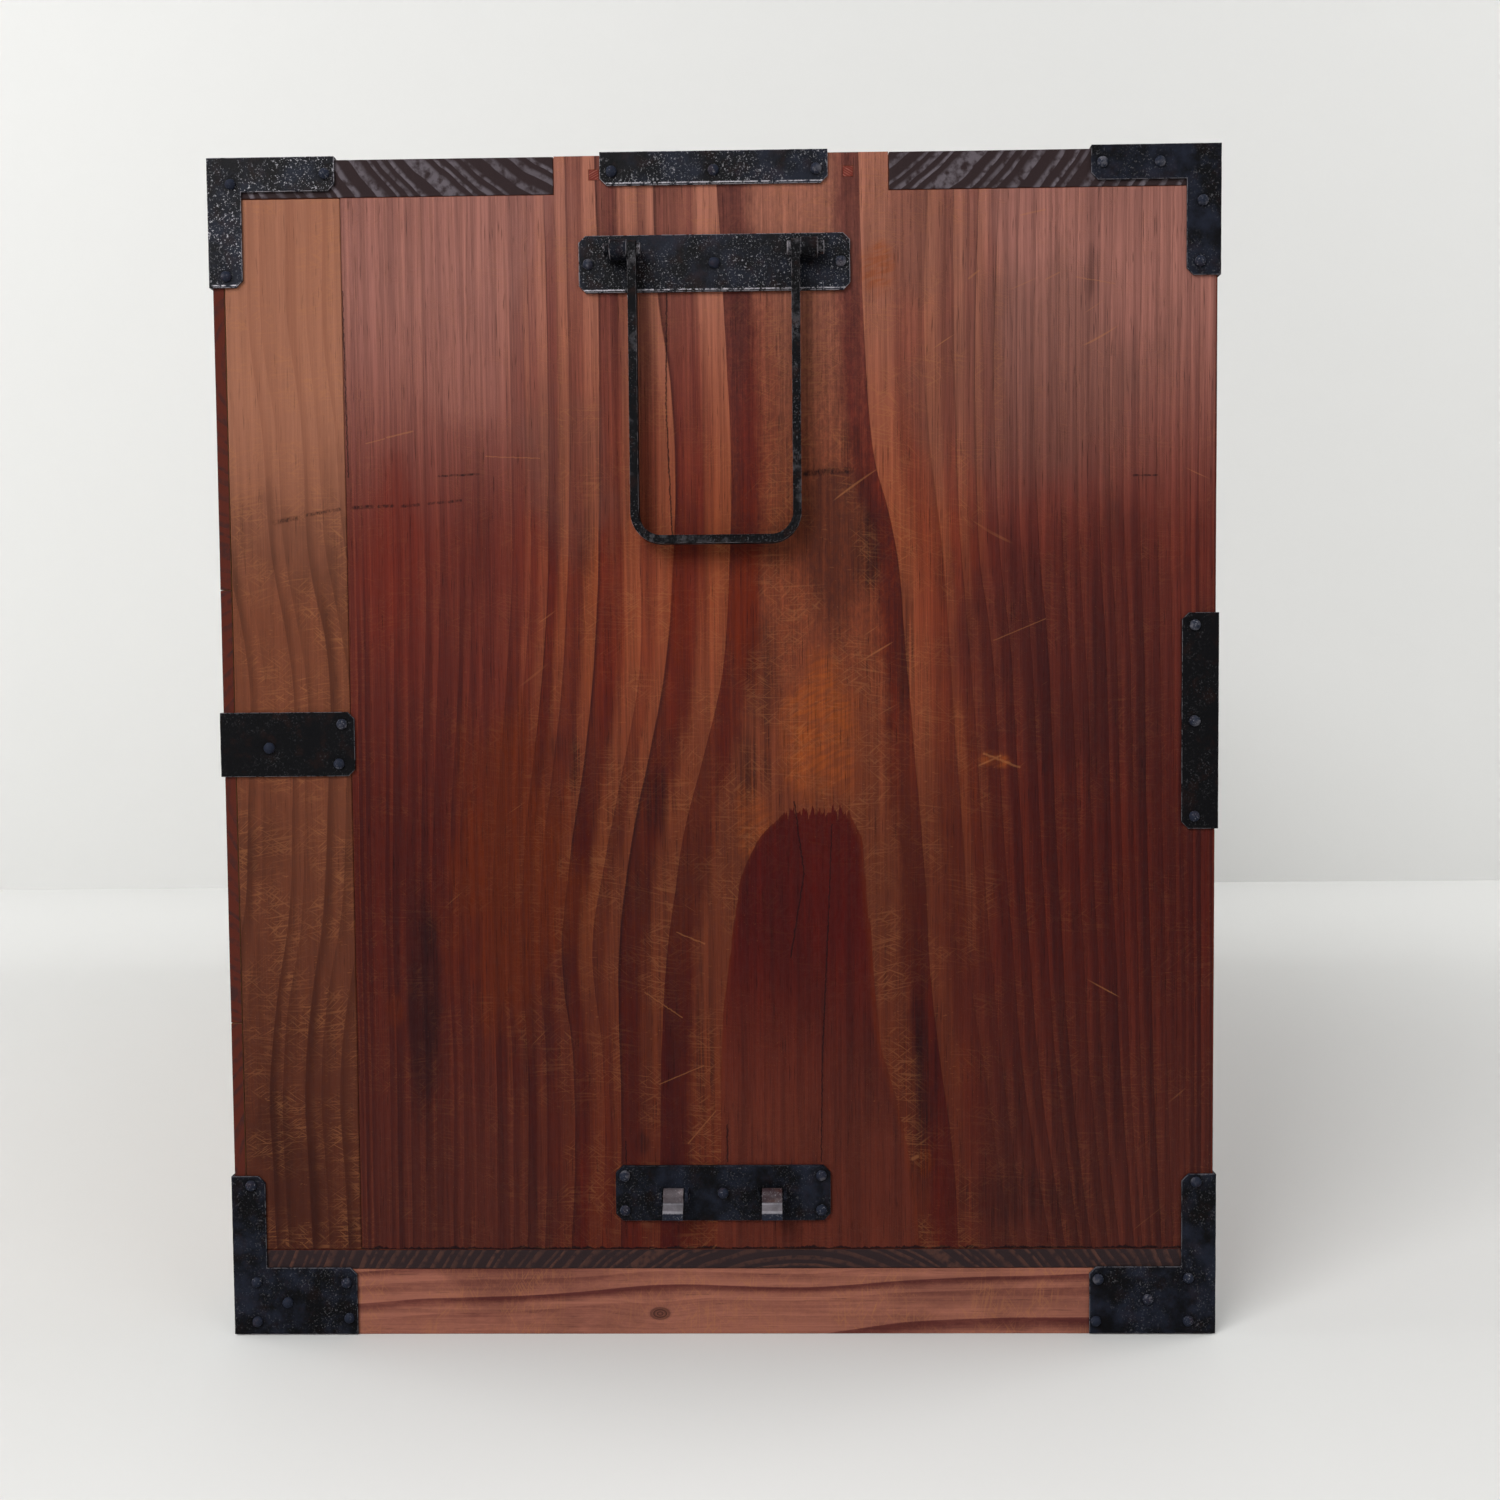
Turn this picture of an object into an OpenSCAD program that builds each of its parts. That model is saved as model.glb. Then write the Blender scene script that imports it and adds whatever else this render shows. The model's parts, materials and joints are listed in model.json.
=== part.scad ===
// Kimono chest: one iron-bound section of a stacked chest, with two full-width drawers.
// The ends carry a lifting bail near the top and two hinged catches near the base.
// X runs along the width, the front faces -Y, and Z is up from the floor.
// A place on an end is given as u, the distance from the back face, and z, the height.

/* [Case] */
// Width over the side boards
case_w = 900; // [760:10:1100]
// Depth from the front edge to the back of the back boards
case_d = 424; // [390:2:470]
// Height from the floor to the top of the top board
case_h = 505; // [470:5:600]
// Thickness of the side boards
side_t = 17; // [16:0.5:20]
// Thickness of the top board
top_t = 16; // [15:0.5:20]
// Thickness of the bottom board
bottom_t = 8.5; // [7:0.5:12]
// Thickness of the back boards
back_t = 5; // [4:0.5:8]
// Width of the narrow rear board of each side
narrow_w = 50; // [30:1:90]
// Width of the tongue that each side sends up through the top board
tongue_w = 140.8; // [110:1:160]
// How far the tongue sits in front of the middle of the depth
tongue_shift = 4; // [0:0.5:10]

/* [Base] */
// Height of the base rails
base_h = 29; // [26:1:40]
// Thickness of the base rails
base_t = 20; // [18:1:28]

/* [Divider] */
// Height of the rail between the drawers
rail_h = 18; // [16:1:24]
// Depth of that rail from front to back
rail_d = 30; // [28:1:40]
// Thickness of the shelf behind the rail
shelf_t = 9; // [7:0.5:12]
// Depth of the housings that hold the rail and shelf in the sides
housing = 6; // [4:0.5:8]

/* [Back boards] */
// Height of the lowest back board
back_low_h = 108.5; // [90:0.5:130]
// Height of the middle back board
back_mid_h = 187; // [160:1:200]

/* [Drawers] */
// Gap between a drawer and each side of the case
drawer_gap = 0.75; // [0.5:0.05:1.5]
// Gap over a drawer front
drawer_top_gap = 1.5; // [1:0.1:2.5]
// Gap under a drawer
drawer_floor_gap = 0.3; // [0.2:0.1:0.8]
// Gap between the back of a drawer, pushed in, and the back boards
drawer_back_gap = 1; // [0.5:0.5:4]
// How far the drawer fronts lie behind the front edges of the case
front_recess = 1.5; // [0.5:0.1:3]
// Thickness of a drawer front
front_t = 16; // [14:0.5:18]
// Thickness of the drawer sides
drawer_side_t = 10; // [8:0.5:12]
// Thickness of a drawer back
drawer_back_t = 9; // [7:0.5:12]
// Thickness of a drawer bottom
drawer_bottom_t = 7; // [5:0.5:9]
// How far the drawer sides stay below the top of the front
side_drop = 14; // [8:1:24]
// Depth of the rebates in the back of a drawer front
rebate_d = 9; // [6:0.5:11]

/* [Irons] */
// Thickness of the corner irons and edge straps
iron_t = 1.2; // [0.8:0.1:1.6]
// Length of the arms of the corner irons
arm = 54.4; // [44:0.2:62]
// Width of the arms of the top corner irons
band = 14.6; // [13:0.1:14.8]
// Width of the uprights of the bottom corner irons
upright_w = 15; // [13:0.2:15.6]
// Height of the bottom corner irons
upright_h = 70.5; // [62:0.5:76]
// How far the irons turn over the top of the case
top_turn = 12; // [8:1:16]
// Size of the clipped corners
clip = 3; // [2:0.1:4]
// Length of the strap on the top edge of each end
top_strap_l = 96; // [80:1:104]
// Length of the straps on the front edges
front_strap_l = 92; // [70:1:110]
// Height of the straps on the back edges
back_strap_h = 27.8; // [22:0.2:34]
// Reach of the back edge straps along the ends
back_strap_l = 57; // [50:0.5:64]

/* [Nails] */
// Radius of a nail shank
nail_r = 1.1; // [0.9:0.1:1.3]
// Radius of a domed nail head
head_r = 2.5; // [2.1:0.1:2.8]
// Height of a domed nail head
dome = 1.5; // [1:0.1:1.8]
// Length of a nail below its head
nail_l = 11; // [9:0.5:13]

/* [Lifting bails] */
// Thickness of the plates that carry the bails and catches
plate_t = 1.6; // [1.2:0.1:2]
// Width of a handle plate
handle_plate_w = 114.4; // [110:0.4:124]
// Height of the handle and catch plates
plate_h = 24; // [22:0.5:26]
// Height of the bail axis below the top board's upper face
pivot_drop = 41; // [38:0.5:46]
// Outer width of a bail
bail_w = 71.8; // [66:0.2:74]
// Length of a bail from its axis to its foot
bail_l = 122.4; // [100:0.4:130]
// Thickness of the bail's flat bar, seen from the end
bar_t = 3.6; // [3:0.1:4.4]
// Width of the bail's flat bar, outwards from the end
bar_w = 7.6; // [6.6:0.1:8]
// Outer radius of the bail's bends
bend_r = 13; // [9:0.5:16]
// Radius of the bail pins
pin_r = 2; // [1.6:0.1:2.2]
// Outer radius of the eyes that hold the bail pins
eye_r = 4.2; // [3.9:0.1:4.5]
// Length of an eye along the pin
eye_l = 7.4; // [6:0.2:8]

/* [Catches] */
// Width of a catch plate
catch_plate_w = 93; // [86:1:100]
// Height of the middle of the catch plates above the floor
catch_z = 62.7; // [60:0.5:70]
// Distance between the two catches of an end
catch_pitch = 42.4; // [36:0.4:50]
// Width of a catch
catch_w = 8.6; // [7:0.2:10]
// Thickness of a catch's strip
catch_t = 1.6; // [1.2:0.1:2]
// Radius of a catch's rolled eye
catch_r = 3.3; // [3:0.1:3.6]
// Radius of the catch pins
catch_pin_r = 1.3; // [1.1:0.1:1.5]

/* [Drawer fittings] */
// Distance between the two posts of a pull
pull_pitch = 96; // [80:1:120]
// Drop of a pull from its axis to its foot
pull_drop = 46; // [36:1:60]
// Thickness of a pull's bar, seen from the front
pull_bar = 5; // [4:0.2:6]
// Depth of a pull's bar from front to back
pull_bar_d = 6; // [5:0.2:7]
// Distance of a pull's axis from the drawer front
pull_stand = 9; // [8:0.5:12]
// Radius of a post's eye
post_eye_r = 4.8; // [4.4:0.1:5.2]
// Width of a post's eye along the pull's axis
post_eye_w = 5; // [4:0.2:6]
// Radius of a post's shank
post_r = 2.4; // [2:0.1:2.8]
// Width of the washer plate under a post
washer_w = 18; // [14:1:24]
// Outer radius of a pull's bends
pull_bend_r = 12; // [8:0.5:16]
// Width of a lock plate
lock_w = 104; // [96:1:120]
// Height of a lock plate
lock_h = 62; // [54:1:70]
// Width of a lock bolt's tongue
bolt_w = 22; // [16:1:26]
// Thickness of a lock bolt
bolt_t = 5; // [4:0.5:6]
// Travel of a lock bolt
bolt_rise = 7; // [6:0.5:8]

/* [Hidden] */
$fn = 40;

// Colours of the finishes
side_wood = [0.36, 0.13, 0.07];
pale_wood = [0.45, 0.23, 0.14];
end_wood = [0.13, 0.09, 0.08];
front_wood = [0.22, 0.08, 0.05];
raw_wood = [0.62, 0.46, 0.30];
black_iron = [0.05, 0.05, 0.06];
worn_iron = [0.16, 0.13, 0.12];

// Running clearances: of a shank in its hole, and of a turning piece on its pin
hole_gap = 0.05;
run_gap = 0.1;
// Small gap between pieces that pass each other
pass_gap = 0.5;
// Extra length that lets a cut run clear through a face
over = 1;

// Height levels of the case
floor_z = base_h + bottom_t;
roof_z = case_h - top_t;
bay_h = (roof_z - floor_z - rail_h) / 2;
rail_z = floor_z + bay_h;
shelf_z = rail_z + rail_h;
rail_mid = rail_z + rail_h / 2;

// The box round the whole chest is centred on the origin, from the pulls to the rear nail heads
pull_reach = pull_stand + post_eye_r - front_recess;
back_reach = iron_t + dome;
y_back = (case_d + pull_reach - back_reach) / 2;
y_front = y_back - case_d;
y_drawer = y_front + front_recess;

// Places along an end
mid_u = case_d / 2;
hardware_u = mid_u + 1;
tongue_u = mid_u + tongue_shift - tongue_w / 2;
seam_u = back_t + narrow_w;

// Joint pegs
peg_w = 4.4;
peg_l = 40;
peg_z = case_h - top_t / 2;
side_peg_inset = 17;
top_peg_inset = 26;
back_peg_r = 1.5;
back_peg_l = 16;
back_peg_inset = 14;
back_low_z = base_h + back_low_h;
back_mid_z = back_low_z + back_mid_h;

// Levels and offsets of the irons
iron_lift = 0.4;
foot_h = base_h + 1;
front_strap_lift = 2;
back_strap_lift = -5;
back_strap_turn = 42;
strap_tongue = 30;
strap_tongue_h = min(band, rail_h - 2);
top_strap_turn = 30;
top_strap_drop = 13;

// Places of the lifting bails
pivot_z = case_h - pivot_drop;
plate_under_pivot = 4.5;
handle_plate_z = pivot_z - plate_under_pivot - plate_h / 2;
bail_stand = 0.75;
pivot_out = plate_t + bail_stand + bar_w / 2;
leg_gap = 0.15;
tang_w = 3.4;
tang_l = 14;
pin_head_r = 2.8;
pin_head_l = 1.6;
pin_tail_l = 2.6;
pin_tail_swell = 0.4;

// Places of the catches
catch_stand = 0.3;
catch_out = plate_t + catch_r + catch_stand;
catch_pin_tail = 0.5;
ear_t = 1.6;
ear_wall = 1.3;
ear_rise = 2.6;
lip_out = plate_t + bail_stand + bar_w + pass_gap;
lip_drop = 8.2;
shin_drop = 0.2;
step_drop = 1.7;

// Sizes of the drawers
inner_w = case_w - 2 * side_t;
drawer_w = inner_w - 2 * drawer_gap;
front_h = bay_h - drawer_top_gap - drawer_floor_gap;
drawer_l = case_d - back_t - front_recess - drawer_back_gap;
side_h = front_h - side_drop - drawer_bottom_t;
drawer_back_drop = 8;

// Places on a drawer front
pull_x = drawer_w / 4;
pull_z = front_h * 0.56;
clench_lap = 2;
lock_drop = 7;
lock_z = front_h - lock_drop - lock_h;
key_w = 5.2;
key_h = 14;
key_z = lock_z + lock_h * 0.36;
lock_nail_inset = 12;
lock_nail_side = 10;
lock_nail_x = lock_w / 2 - lock_nail_side;
lock_nail_z = [lock_nail_inset, lock_h - lock_nail_inset];
lock_wall = 1.6;
lock_case_w = 56;
lock_case_h = 50;
bolt_side_play = 0.5;
lock_case_d = bolt_t + 2 * (lock_wall + bolt_side_play);
lock_flange_w = lock_w - 8;
lock_top_gap = 1;
lock_case_z = front_h - lock_top_gap - lock_case_h;
bolt_shoulder_w = 40;
bolt_shoulder_h = 14;
bolt_play = 0.4;
strike_gap = 1;

// Frames of reference

module on_left() {
    translate([-case_w / 2, y_back, 0]) rotate([90, 0, -90]) children();
}

module on_side(s) {
    if (s < 0) on_left() children();
    else mirror([1, 0, 0]) on_left() children();
}

// On an end's frame: a plate turned onto the front face, drawn as [distance from the end, z]
module turned_front() {
    translate([case_d, 0, 0]) rotate([0, 90, 0]) linear_extrude(iron_t) children();
}

module turned_back() {
    translate([-iron_t, 0, 0]) rotate([0, 90, 0]) linear_extrude(iron_t) children();
}

// A plate turned onto the top, drawn as [u, distance from the end]
module turned_top() {
    translate([0, case_h, 0]) rotate([-90, 0, 0]) linear_extrude(iron_t) children();
}

module on_drawer(floor) {
    translate([0, y_drawer, floor + drawer_floor_gap]) children();
}

// On a drawer's frame: local z points out of the drawer front
module on_drawer_face(floor) {
    on_drawer(floor) rotate([90, 0, 0]) children();
}

// Outlines

module clipped_rect(w, h, c) {
    polygon([[c, 0], [w - c, 0], [w, c], [w, h - c], [w - c, h], [c, h], [0, h - c], [0, c]]);
}

// An L with its corner at the origin, one arm along +x and one along -y, and clipped ends
module corner_ell(arm_x, arm_y, wide_x, wide_y, c) {
    polygon([
        [0, 0], [arm_x, 0], [arm_x, c - wide_x], [arm_x - c, -wide_x],
        [wide_y, -wide_x], [wide_y, c - arm_y], [wide_y - c, -arm_y], [0, -arm_y]
    ]);
}

// A bent bar seen flat: a U, open at the top, with its axis at y = 0
module bent_bar(w, l, t, r) {
    difference() {
        bar_shape(w, l, r);
        translate([0, t]) bar_shape(w - 2 * t, l, max(r - t, 0.5));
    }
}

module bar_shape(w, l, r) {
    translate([-w / 2, r - l]) square([w, l - r]);
    translate([r - w / 2, -l]) square([w - 2 * r, 2 * r]);
    for (s = [-1, 1]) translate([s * (w / 2 - r), r - l]) circle(r);
}

module keyhole() {
    translate([-key_w / 2, 0]) square([key_w, key_h - key_w / 2]);
    translate([0, key_h - key_w / 2]) circle(key_w / 2);
}

// Nails: where each one enters, for one end of the chest

top_arm_y = case_h + iron_t - band / 2;
upright_mid = upright_w / 2;
edge_nail_x = side_t / 2 - 1;
side_nails = concat(
    // top rear iron
    [[9, case_h - 10, iron_t], [arm - 5.5, top_arm_y, iron_t], [6.3, case_h - arm + 6, iron_t]],
    // top front iron
    [
        [case_d + 6 - arm, top_arm_y, iron_t], [case_d - 24.4, top_arm_y, iron_t],
        [case_d - 6.6, case_h - 22.3, iron_t], [case_d - 7.6, case_h + 7 - arm, iron_t]
    ],
    // bottom rear iron
    [
        [upright_mid, upright_h - 4.2, iron_t], [9, base_h - 5.4, iron_t], [9, 6, iron_t],
        [arm - 6, base_h - 5.8, iron_t], [arm - 5, 7.6, iron_t], [22.5, base_h / 2, iron_t]
    ],
    // bottom front iron
    [
        [case_d - upright_mid, upright_h - 3.6, iron_t], [case_d - 10.6, base_h - 4.2, iron_t],
        [case_d - 10.6, 6, iron_t], [case_d + 5 - arm, base_h - 4.6, iron_t],
        [case_d + 4 - arm, 6, iron_t], [case_d - 28, base_h / 2 + 1, iron_t]
    ],
    // top strap
    [for (s = [-1, 0, 1]) [hardware_u + s * (top_strap_l / 2 - 5), case_h - 7, iron_t]],
    // front edge strap
    [
        for (s = [-1, 0, 1])
            [case_d - 9, rail_mid + front_strap_lift + s * (front_strap_l / 2 - 5.4), iron_t]
    ],
    // back edge strap
    [
        [back_strap_l - 5.5, rail_mid + back_strap_lift + 8.6, iron_t],
        [20, rail_mid + back_strap_lift - 1.5, iron_t],
        [back_strap_l - 7, rail_mid + back_strap_lift - 8.5, iron_t]
    ],
    // handle plate
    [for (s = [-1, 0, 1]) [hardware_u + s * (handle_plate_w / 2 - 4), handle_plate_z + plate_h / 2, plate_t]],
    // catch plate
    [
        for (s = [-1, 1], t = [-1, 1])
            [hardware_u + s * (catch_plate_w / 2 - 4), catch_z + t * (plate_h / 2 - 4.4), plate_t]
    ],
    [[hardware_u, catch_z, plate_t]]
);
// On the front face: [distance from the end, z]
front_nails = [
    [edge_nail_x, case_h - 0.53 * arm], [edge_nail_x, case_h - 0.74 * arm],
    [0.55 * arm, top_arm_y], [arm - 7, top_arm_y],
    [edge_nail_x, upright_h - 12], [8, base_h / 2], [arm - 7, base_h - 6], [arm - 7, 7],
    [edge_nail_x, rail_mid + front_strap_l / 2 - 12],
    [edge_nail_x, rail_mid - front_strap_l / 2 + 14],
    [band + strap_tongue - 5, rail_mid]
];
// On the back face: [distance from the end, z]
back_nails = [
    [edge_nail_x, case_h - 0.37 * arm], [edge_nail_x, case_h - 0.74 * arm], [arm - 7, top_arm_y],
    [edge_nail_x, upright_h - 12], [8, base_h / 2], [arm - 7, base_h - 6], [arm - 7, 7],
    [edge_nail_x, rail_mid + back_strap_lift + 4]
];
// On the top: [u, distance from the end]
top_nails = [for (s = [-1, 1]) [hardware_u + s * (top_strap_l / 2 - 16), top_strap_turn - 7]];

function near(a, lo, hi) = a > lo - nail_r && a < hi + nail_r;

// Every nail that may reach a piece between the corners lo and hi, each given as [u, z, depth]
module each_nail(lo, hi) {
    for (n = side_nails) if (lo[2] < nail_l && near(n[0], lo[0], hi[0]) && near(n[1], lo[1], hi[1]))
        translate(n) children();
    for (n = front_nails) if (hi[0] > case_d - nail_l && near(n[0], lo[2], hi[2]) && near(n[1], lo[1], hi[1]))
        translate([case_d + iron_t, n[1], -n[0]]) rotate([0, 90, 0]) children();
    for (n = back_nails) if (lo[0] < nail_l && near(n[0], lo[2], hi[2]) && near(n[1], lo[1], hi[1]))
        translate([-iron_t, n[1], -n[0]]) rotate([0, -90, 0]) children();
    for (n = top_nails) if (hi[1] > case_h - nail_l && near(n[0], lo[0], hi[0]) && near(n[1], lo[2], hi[2]))
        translate([n[0], case_h + iron_t, -n[1]]) rotate([-90, 0, 0]) children();
}

// A nail with its head's underside at z = 0 and its shank going down
module nail(l) {
    shoulder_r = head_r * 0.8;
    shoulder_z = dome * 0.55;
    translate([0, 0, -l]) cylinder(l, r = nail_r);
    cylinder(shoulder_z, r1 = head_r, r2 = shoulder_r);
    translate([0, 0, shoulder_z]) cylinder(dome - shoulder_z, r1 = shoulder_r, r2 = head_r * 0.35);
}

module nail_holes(s, lo, hi) {
    on_side(s) each_nail(lo, hi) translate([0, 0, -nail_l - iron_t])
        cylinder(nail_l + 2 * iron_t, r = nail_r + hole_gap);
}

// Pegs: square ones in the corner joints, round ones through the back boards

side_peg_us = [tongue_u + side_peg_inset, tongue_u + tongue_w - side_peg_inset];
top_peg_us = [
    tongue_u - 2.4 * top_peg_inset, tongue_u - top_peg_inset,
    tongue_u + tongue_w + top_peg_inset, tongue_u + tongue_w + 2.4 * top_peg_inset
];
back_peg_zs = [
    base_h + back_peg_inset, back_low_z - back_peg_inset,
    back_low_z + back_peg_inset, (back_low_z + back_mid_z) / 2, back_mid_z - back_peg_inset,
    back_mid_z + back_peg_inset, (back_mid_z + case_h) / 2
];
back_peg_xs = [-case_w / 3, -case_w / 9, case_w / 9, case_w / 3];

module corner_pegs(s) {
    on_side(s) {
        for (u = side_peg_us)
            translate([u - peg_w / 2, peg_z - peg_w / 2, -peg_l]) cube([peg_w, peg_w, peg_l]);
        for (u = top_peg_us)
            translate([u - peg_w / 2, case_h - peg_l, -(side_t + peg_w) / 2]) cube([peg_w, peg_l, peg_w]);
    }
}

// The round pegs whose middles lie between the heights z0 and z1
module side_back_pegs(s, z0, z1, gap) {
    for (z = back_peg_zs) if (z > z0 && z < z1) translate([s * (case_w - side_t) / 2, y_back, z])
        rotate([90, 0, 0]) cylinder(back_peg_l, r = back_peg_r + gap);
}

module long_back_pegs(z0, z1, gap) {
    for (x = back_peg_xs, z = [base_h + bottom_t / 2, shelf_z - shelf_t / 2, peg_z]) if (z > z0 && z < z1)
        translate([x, y_back, z]) rotate([90, 0, 0]) cylinder(back_peg_l, r = back_peg_r + gap);
}

module back_pegs(z0, z1, gap) {
    for (s = [-1, 1]) side_back_pegs(s, z0, z1, gap);
    long_back_pegs(z0, z1, gap);
}

module wooden_pegs() {
    color(pale_wood) {
        for (s = [-1, 1]) corner_pegs(s);
        back_pegs(0, case_h, 0);
    }
}

// Case boards

module side_outline() {
    square([case_d - back_t, roof_z - floor_z]);
    translate([tongue_u - back_t, roof_z - floor_z - over]) square([tongue_w, top_t + over]);
}

module side_housings() {
    translate([case_d - rail_d, rail_z, -side_t - over]) cube([rail_d + over, rail_h, housing + over]);
    translate([0, shelf_z - shelf_t, -side_t - over]) cube([case_d - over, shelf_t, housing + over]);
}

module eye_mortises() {
    for (s = [-1, 1]) eye_place(s) translate([-eye_l / 2, -tang_w / 2, -tang_l - pivot_out])
        cube([eye_l, tang_w, tang_l + pivot_out]);
}

// One side board, from u = u0 to u = u1
module side_board(s, u0, u1) {
    difference() {
        on_side(s) difference() {
            intersection() {
                translate([back_t, floor_z, -side_t]) linear_extrude(side_t) side_outline();
                translate([u0, floor_z, -side_t]) cube([u1 - u0, case_h, side_t]);
            }
            side_housings();
            eye_mortises();
        }
        nail_holes(s, [u0, floor_z, 0], [u1, case_h, side_t]);
    }
}

module side_wide_board(s) {
    color(side_wood) difference() {
        side_board(s, seam_u, case_d);
        corner_pegs(s);
    }
}

module side_narrow_board(s) {
    color(pale_wood) difference() {
        side_board(s, back_t, seam_u);
        side_back_pegs(s, 0, case_h, hole_gap);
    }
}

module strike_mortise(z) {
    w = bolt_w + 2 * strike_gap;
    t = bolt_t + 2 * strike_gap;
    y = y_drawer + front_t + lock_wall + bolt_side_play - strike_gap;
    translate([-w / 2, y, z - over]) cube([w, t, bolt_rise + over]);
}

module top_panel() {
    color(side_wood) difference() {
        translate([-case_w / 2, y_front, roof_z]) cube([case_w, case_d - back_t, top_t]);
        for (s = [-1, 1]) on_side(s) translate([tongue_u, roof_z - over, -side_t])
            cube([tongue_w, top_t + 2 * over, side_t + over]);
        for (s = [-1, 1]) nail_holes(s, [back_t, roof_z, 0], [case_d, case_h, case_w / 2]);
        for (s = [-1, 1]) corner_pegs(s);
        long_back_pegs(roof_z, case_h, hole_gap);
        strike_mortise(roof_z);
    }
}

module bottom_panel() {
    color(end_wood) difference() {
        translate([-case_w / 2, y_front, base_h]) cube([case_w, case_d - back_t, bottom_t]);
        for (s = [-1, 1]) nail_holes(s, [back_t, base_h, 0], [case_d, floor_z, case_w / 2]);
        long_back_pegs(base_h, floor_z, hole_gap);
    }
}

module shelf_panel() {
    w = inner_w + 2 * housing;
    lo = [back_t, shelf_z - shelf_t, side_t - housing];
    hi = [case_d - rail_d, shelf_z, case_w / 2];
    color(raw_wood) difference() {
        translate([-w / 2, y_front + rail_d, shelf_z - shelf_t]) cube([w, case_d - back_t - rail_d, shelf_t]);
        for (s = [-1, 1]) nail_holes(s, lo, hi);
        long_back_pegs(shelf_z - shelf_t, shelf_z, hole_gap);
    }
}

module mid_rail() {
    w = inner_w + 2 * housing;
    color(front_wood) difference() {
        translate([-w / 2, y_front, rail_z]) cube([w, rail_d, rail_h]);
        strike_mortise(rail_z);
        for (s = [-1, 1])
            nail_holes(s, [case_d - rail_d, rail_z, side_t - housing], [case_d, shelf_z, case_w / 2]);
    }
}

module back_board(z0, z1) {
    color(raw_wood) difference() {
        translate([-case_w / 2, y_back - back_t, z0]) cube([case_w, back_t, z1 - z0]);
        for (s = [-1, 1]) nail_holes(s, [0, z0, 0], [back_t, z1, case_w / 2]);
        back_pegs(z0, z1, hole_gap);
    }
}

// Base rails meet in half laps: the end rails keep the lower half
module base_end_rail(s) {
    color(side_wood) difference() {
        on_side(s) difference() {
            translate([0, 0, -base_t]) cube([case_d, base_h, base_t]);
            for (u = [-over, case_d - base_t])
                translate([u, base_h / 2, -base_t - over]) cube([base_t + over, base_h, base_t + 2 * over]);
        }
        nail_holes(s, [0, 0, 0], [case_d, base_h, base_t]);
    }
}

module base_long_rail(u) {
    y = y_back - u - base_t;
    color(front_wood) difference() {
        translate([-case_w / 2, y, 0]) cube([case_w, base_t, base_h]);
        for (x = [-case_w / 2 - over, case_w / 2 - base_t])
            translate([x, y - over, -over]) cube([base_t + over, base_t + 2 * over, base_h / 2 + over]);
        for (s = [-1, 1]) nail_holes(s, [u, 0, 0], [u + base_t, base_h, case_w / 2]);
    }
}

// Irons and straps: each is one bent plate on the end, the front or back, and the top

// The left and right copies of an iron, with the holes of the nails between u0 and u1, and z0 and z1
module pierced(u0, u1, z0, z1) {
    color(black_iron) for (s = [-1, 1]) difference() {
        on_side(s) children();
        nail_holes(s, [u0, z0, 0], [u1, z1, arm]);
    }
}

module top_ell() {
    corner_ell(arm, arm, band, band, clip);
}

module top_front_irons() {
    pierced(case_d - arm, case_d, case_h - arm, case_h) {
        translate([case_d + iron_t, case_h + iron_t, 0]) linear_extrude(iron_t) mirror([1, 0]) top_ell();
        turned_front() translate([0, case_h + iron_t]) top_ell();
        turned_top() translate([case_d - arm + iron_t, 0]) square([arm - iron_t, top_turn]);
    }
}

module top_back_irons() {
    pierced(0, arm, case_h - arm, case_h) {
        translate([-iron_t, case_h + iron_t, 0]) linear_extrude(iron_t) top_ell();
        turned_back() translate([0, case_h + iron_t]) top_ell();
        turned_top() square([arm - iron_t, top_turn]);
    }
}

// The bottom irons: a tall foot on the base rail with a narrow upright above it
module foot_ell() {
    mirror([0, 1]) corner_ell(arm, upright_h - iron_lift, foot_h - iron_lift, upright_w, clip);
}

module bottom_front_irons() {
    pierced(case_d - arm, case_d, 0, upright_h) {
        translate([case_d + iron_t, iron_lift, 0]) linear_extrude(iron_t) mirror([1, 0]) foot_ell();
        turned_front() translate([0, iron_lift]) foot_ell();
    }
}

module bottom_back_irons() {
    pierced(0, arm, 0, upright_h) {
        translate([-iron_t, iron_lift, 0]) linear_extrude(iron_t) foot_ell();
        turned_back() translate([0, iron_lift]) foot_ell();
    }
}

module top_straps() {
    l = top_strap_l;
    h = top_strap_drop + iron_t;
    pierced(hardware_u - l / 2, hardware_u + l / 2, case_h - top_strap_drop, case_h) {
        translate([hardware_u - l / 2, case_h - top_strap_drop, 0]) linear_extrude(iron_t)
            polygon([[clip, 0], [l - clip, 0], [l, clip], [l, h], [0, h], [0, clip]]);
        turned_top() translate([hardware_u - l / 2, 0])
            polygon([[0, 0], [l, 0], [l, top_strap_turn - clip], [l - clip, top_strap_turn],
                [clip, top_strap_turn], [0, top_strap_turn - clip]]);
    }
}

module front_edge_straps() {
    l = front_strap_l;
    h = strap_tongue_h;
    z = rail_mid + front_strap_lift;
    pierced(case_d - band, case_d, z - l / 2, z + l / 2) {
        translate([case_d - band, z - l / 2, 0]) linear_extrude(iron_t)
            polygon([[clip, 0], [band + iron_t, 0], [band + iron_t, l], [clip, l], [0, l - clip], [0, clip]]);
        turned_front() {
            translate([0, z - l / 2]) square([band, l]);
            translate([band - over, rail_mid - h / 2]) polygon([
                [0, 0], [strap_tongue + over - clip, 0], [strap_tongue + over, clip],
                [strap_tongue + over, h - clip], [strap_tongue + over - clip, h], [0, h]
            ]);
        }
    }
}

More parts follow.
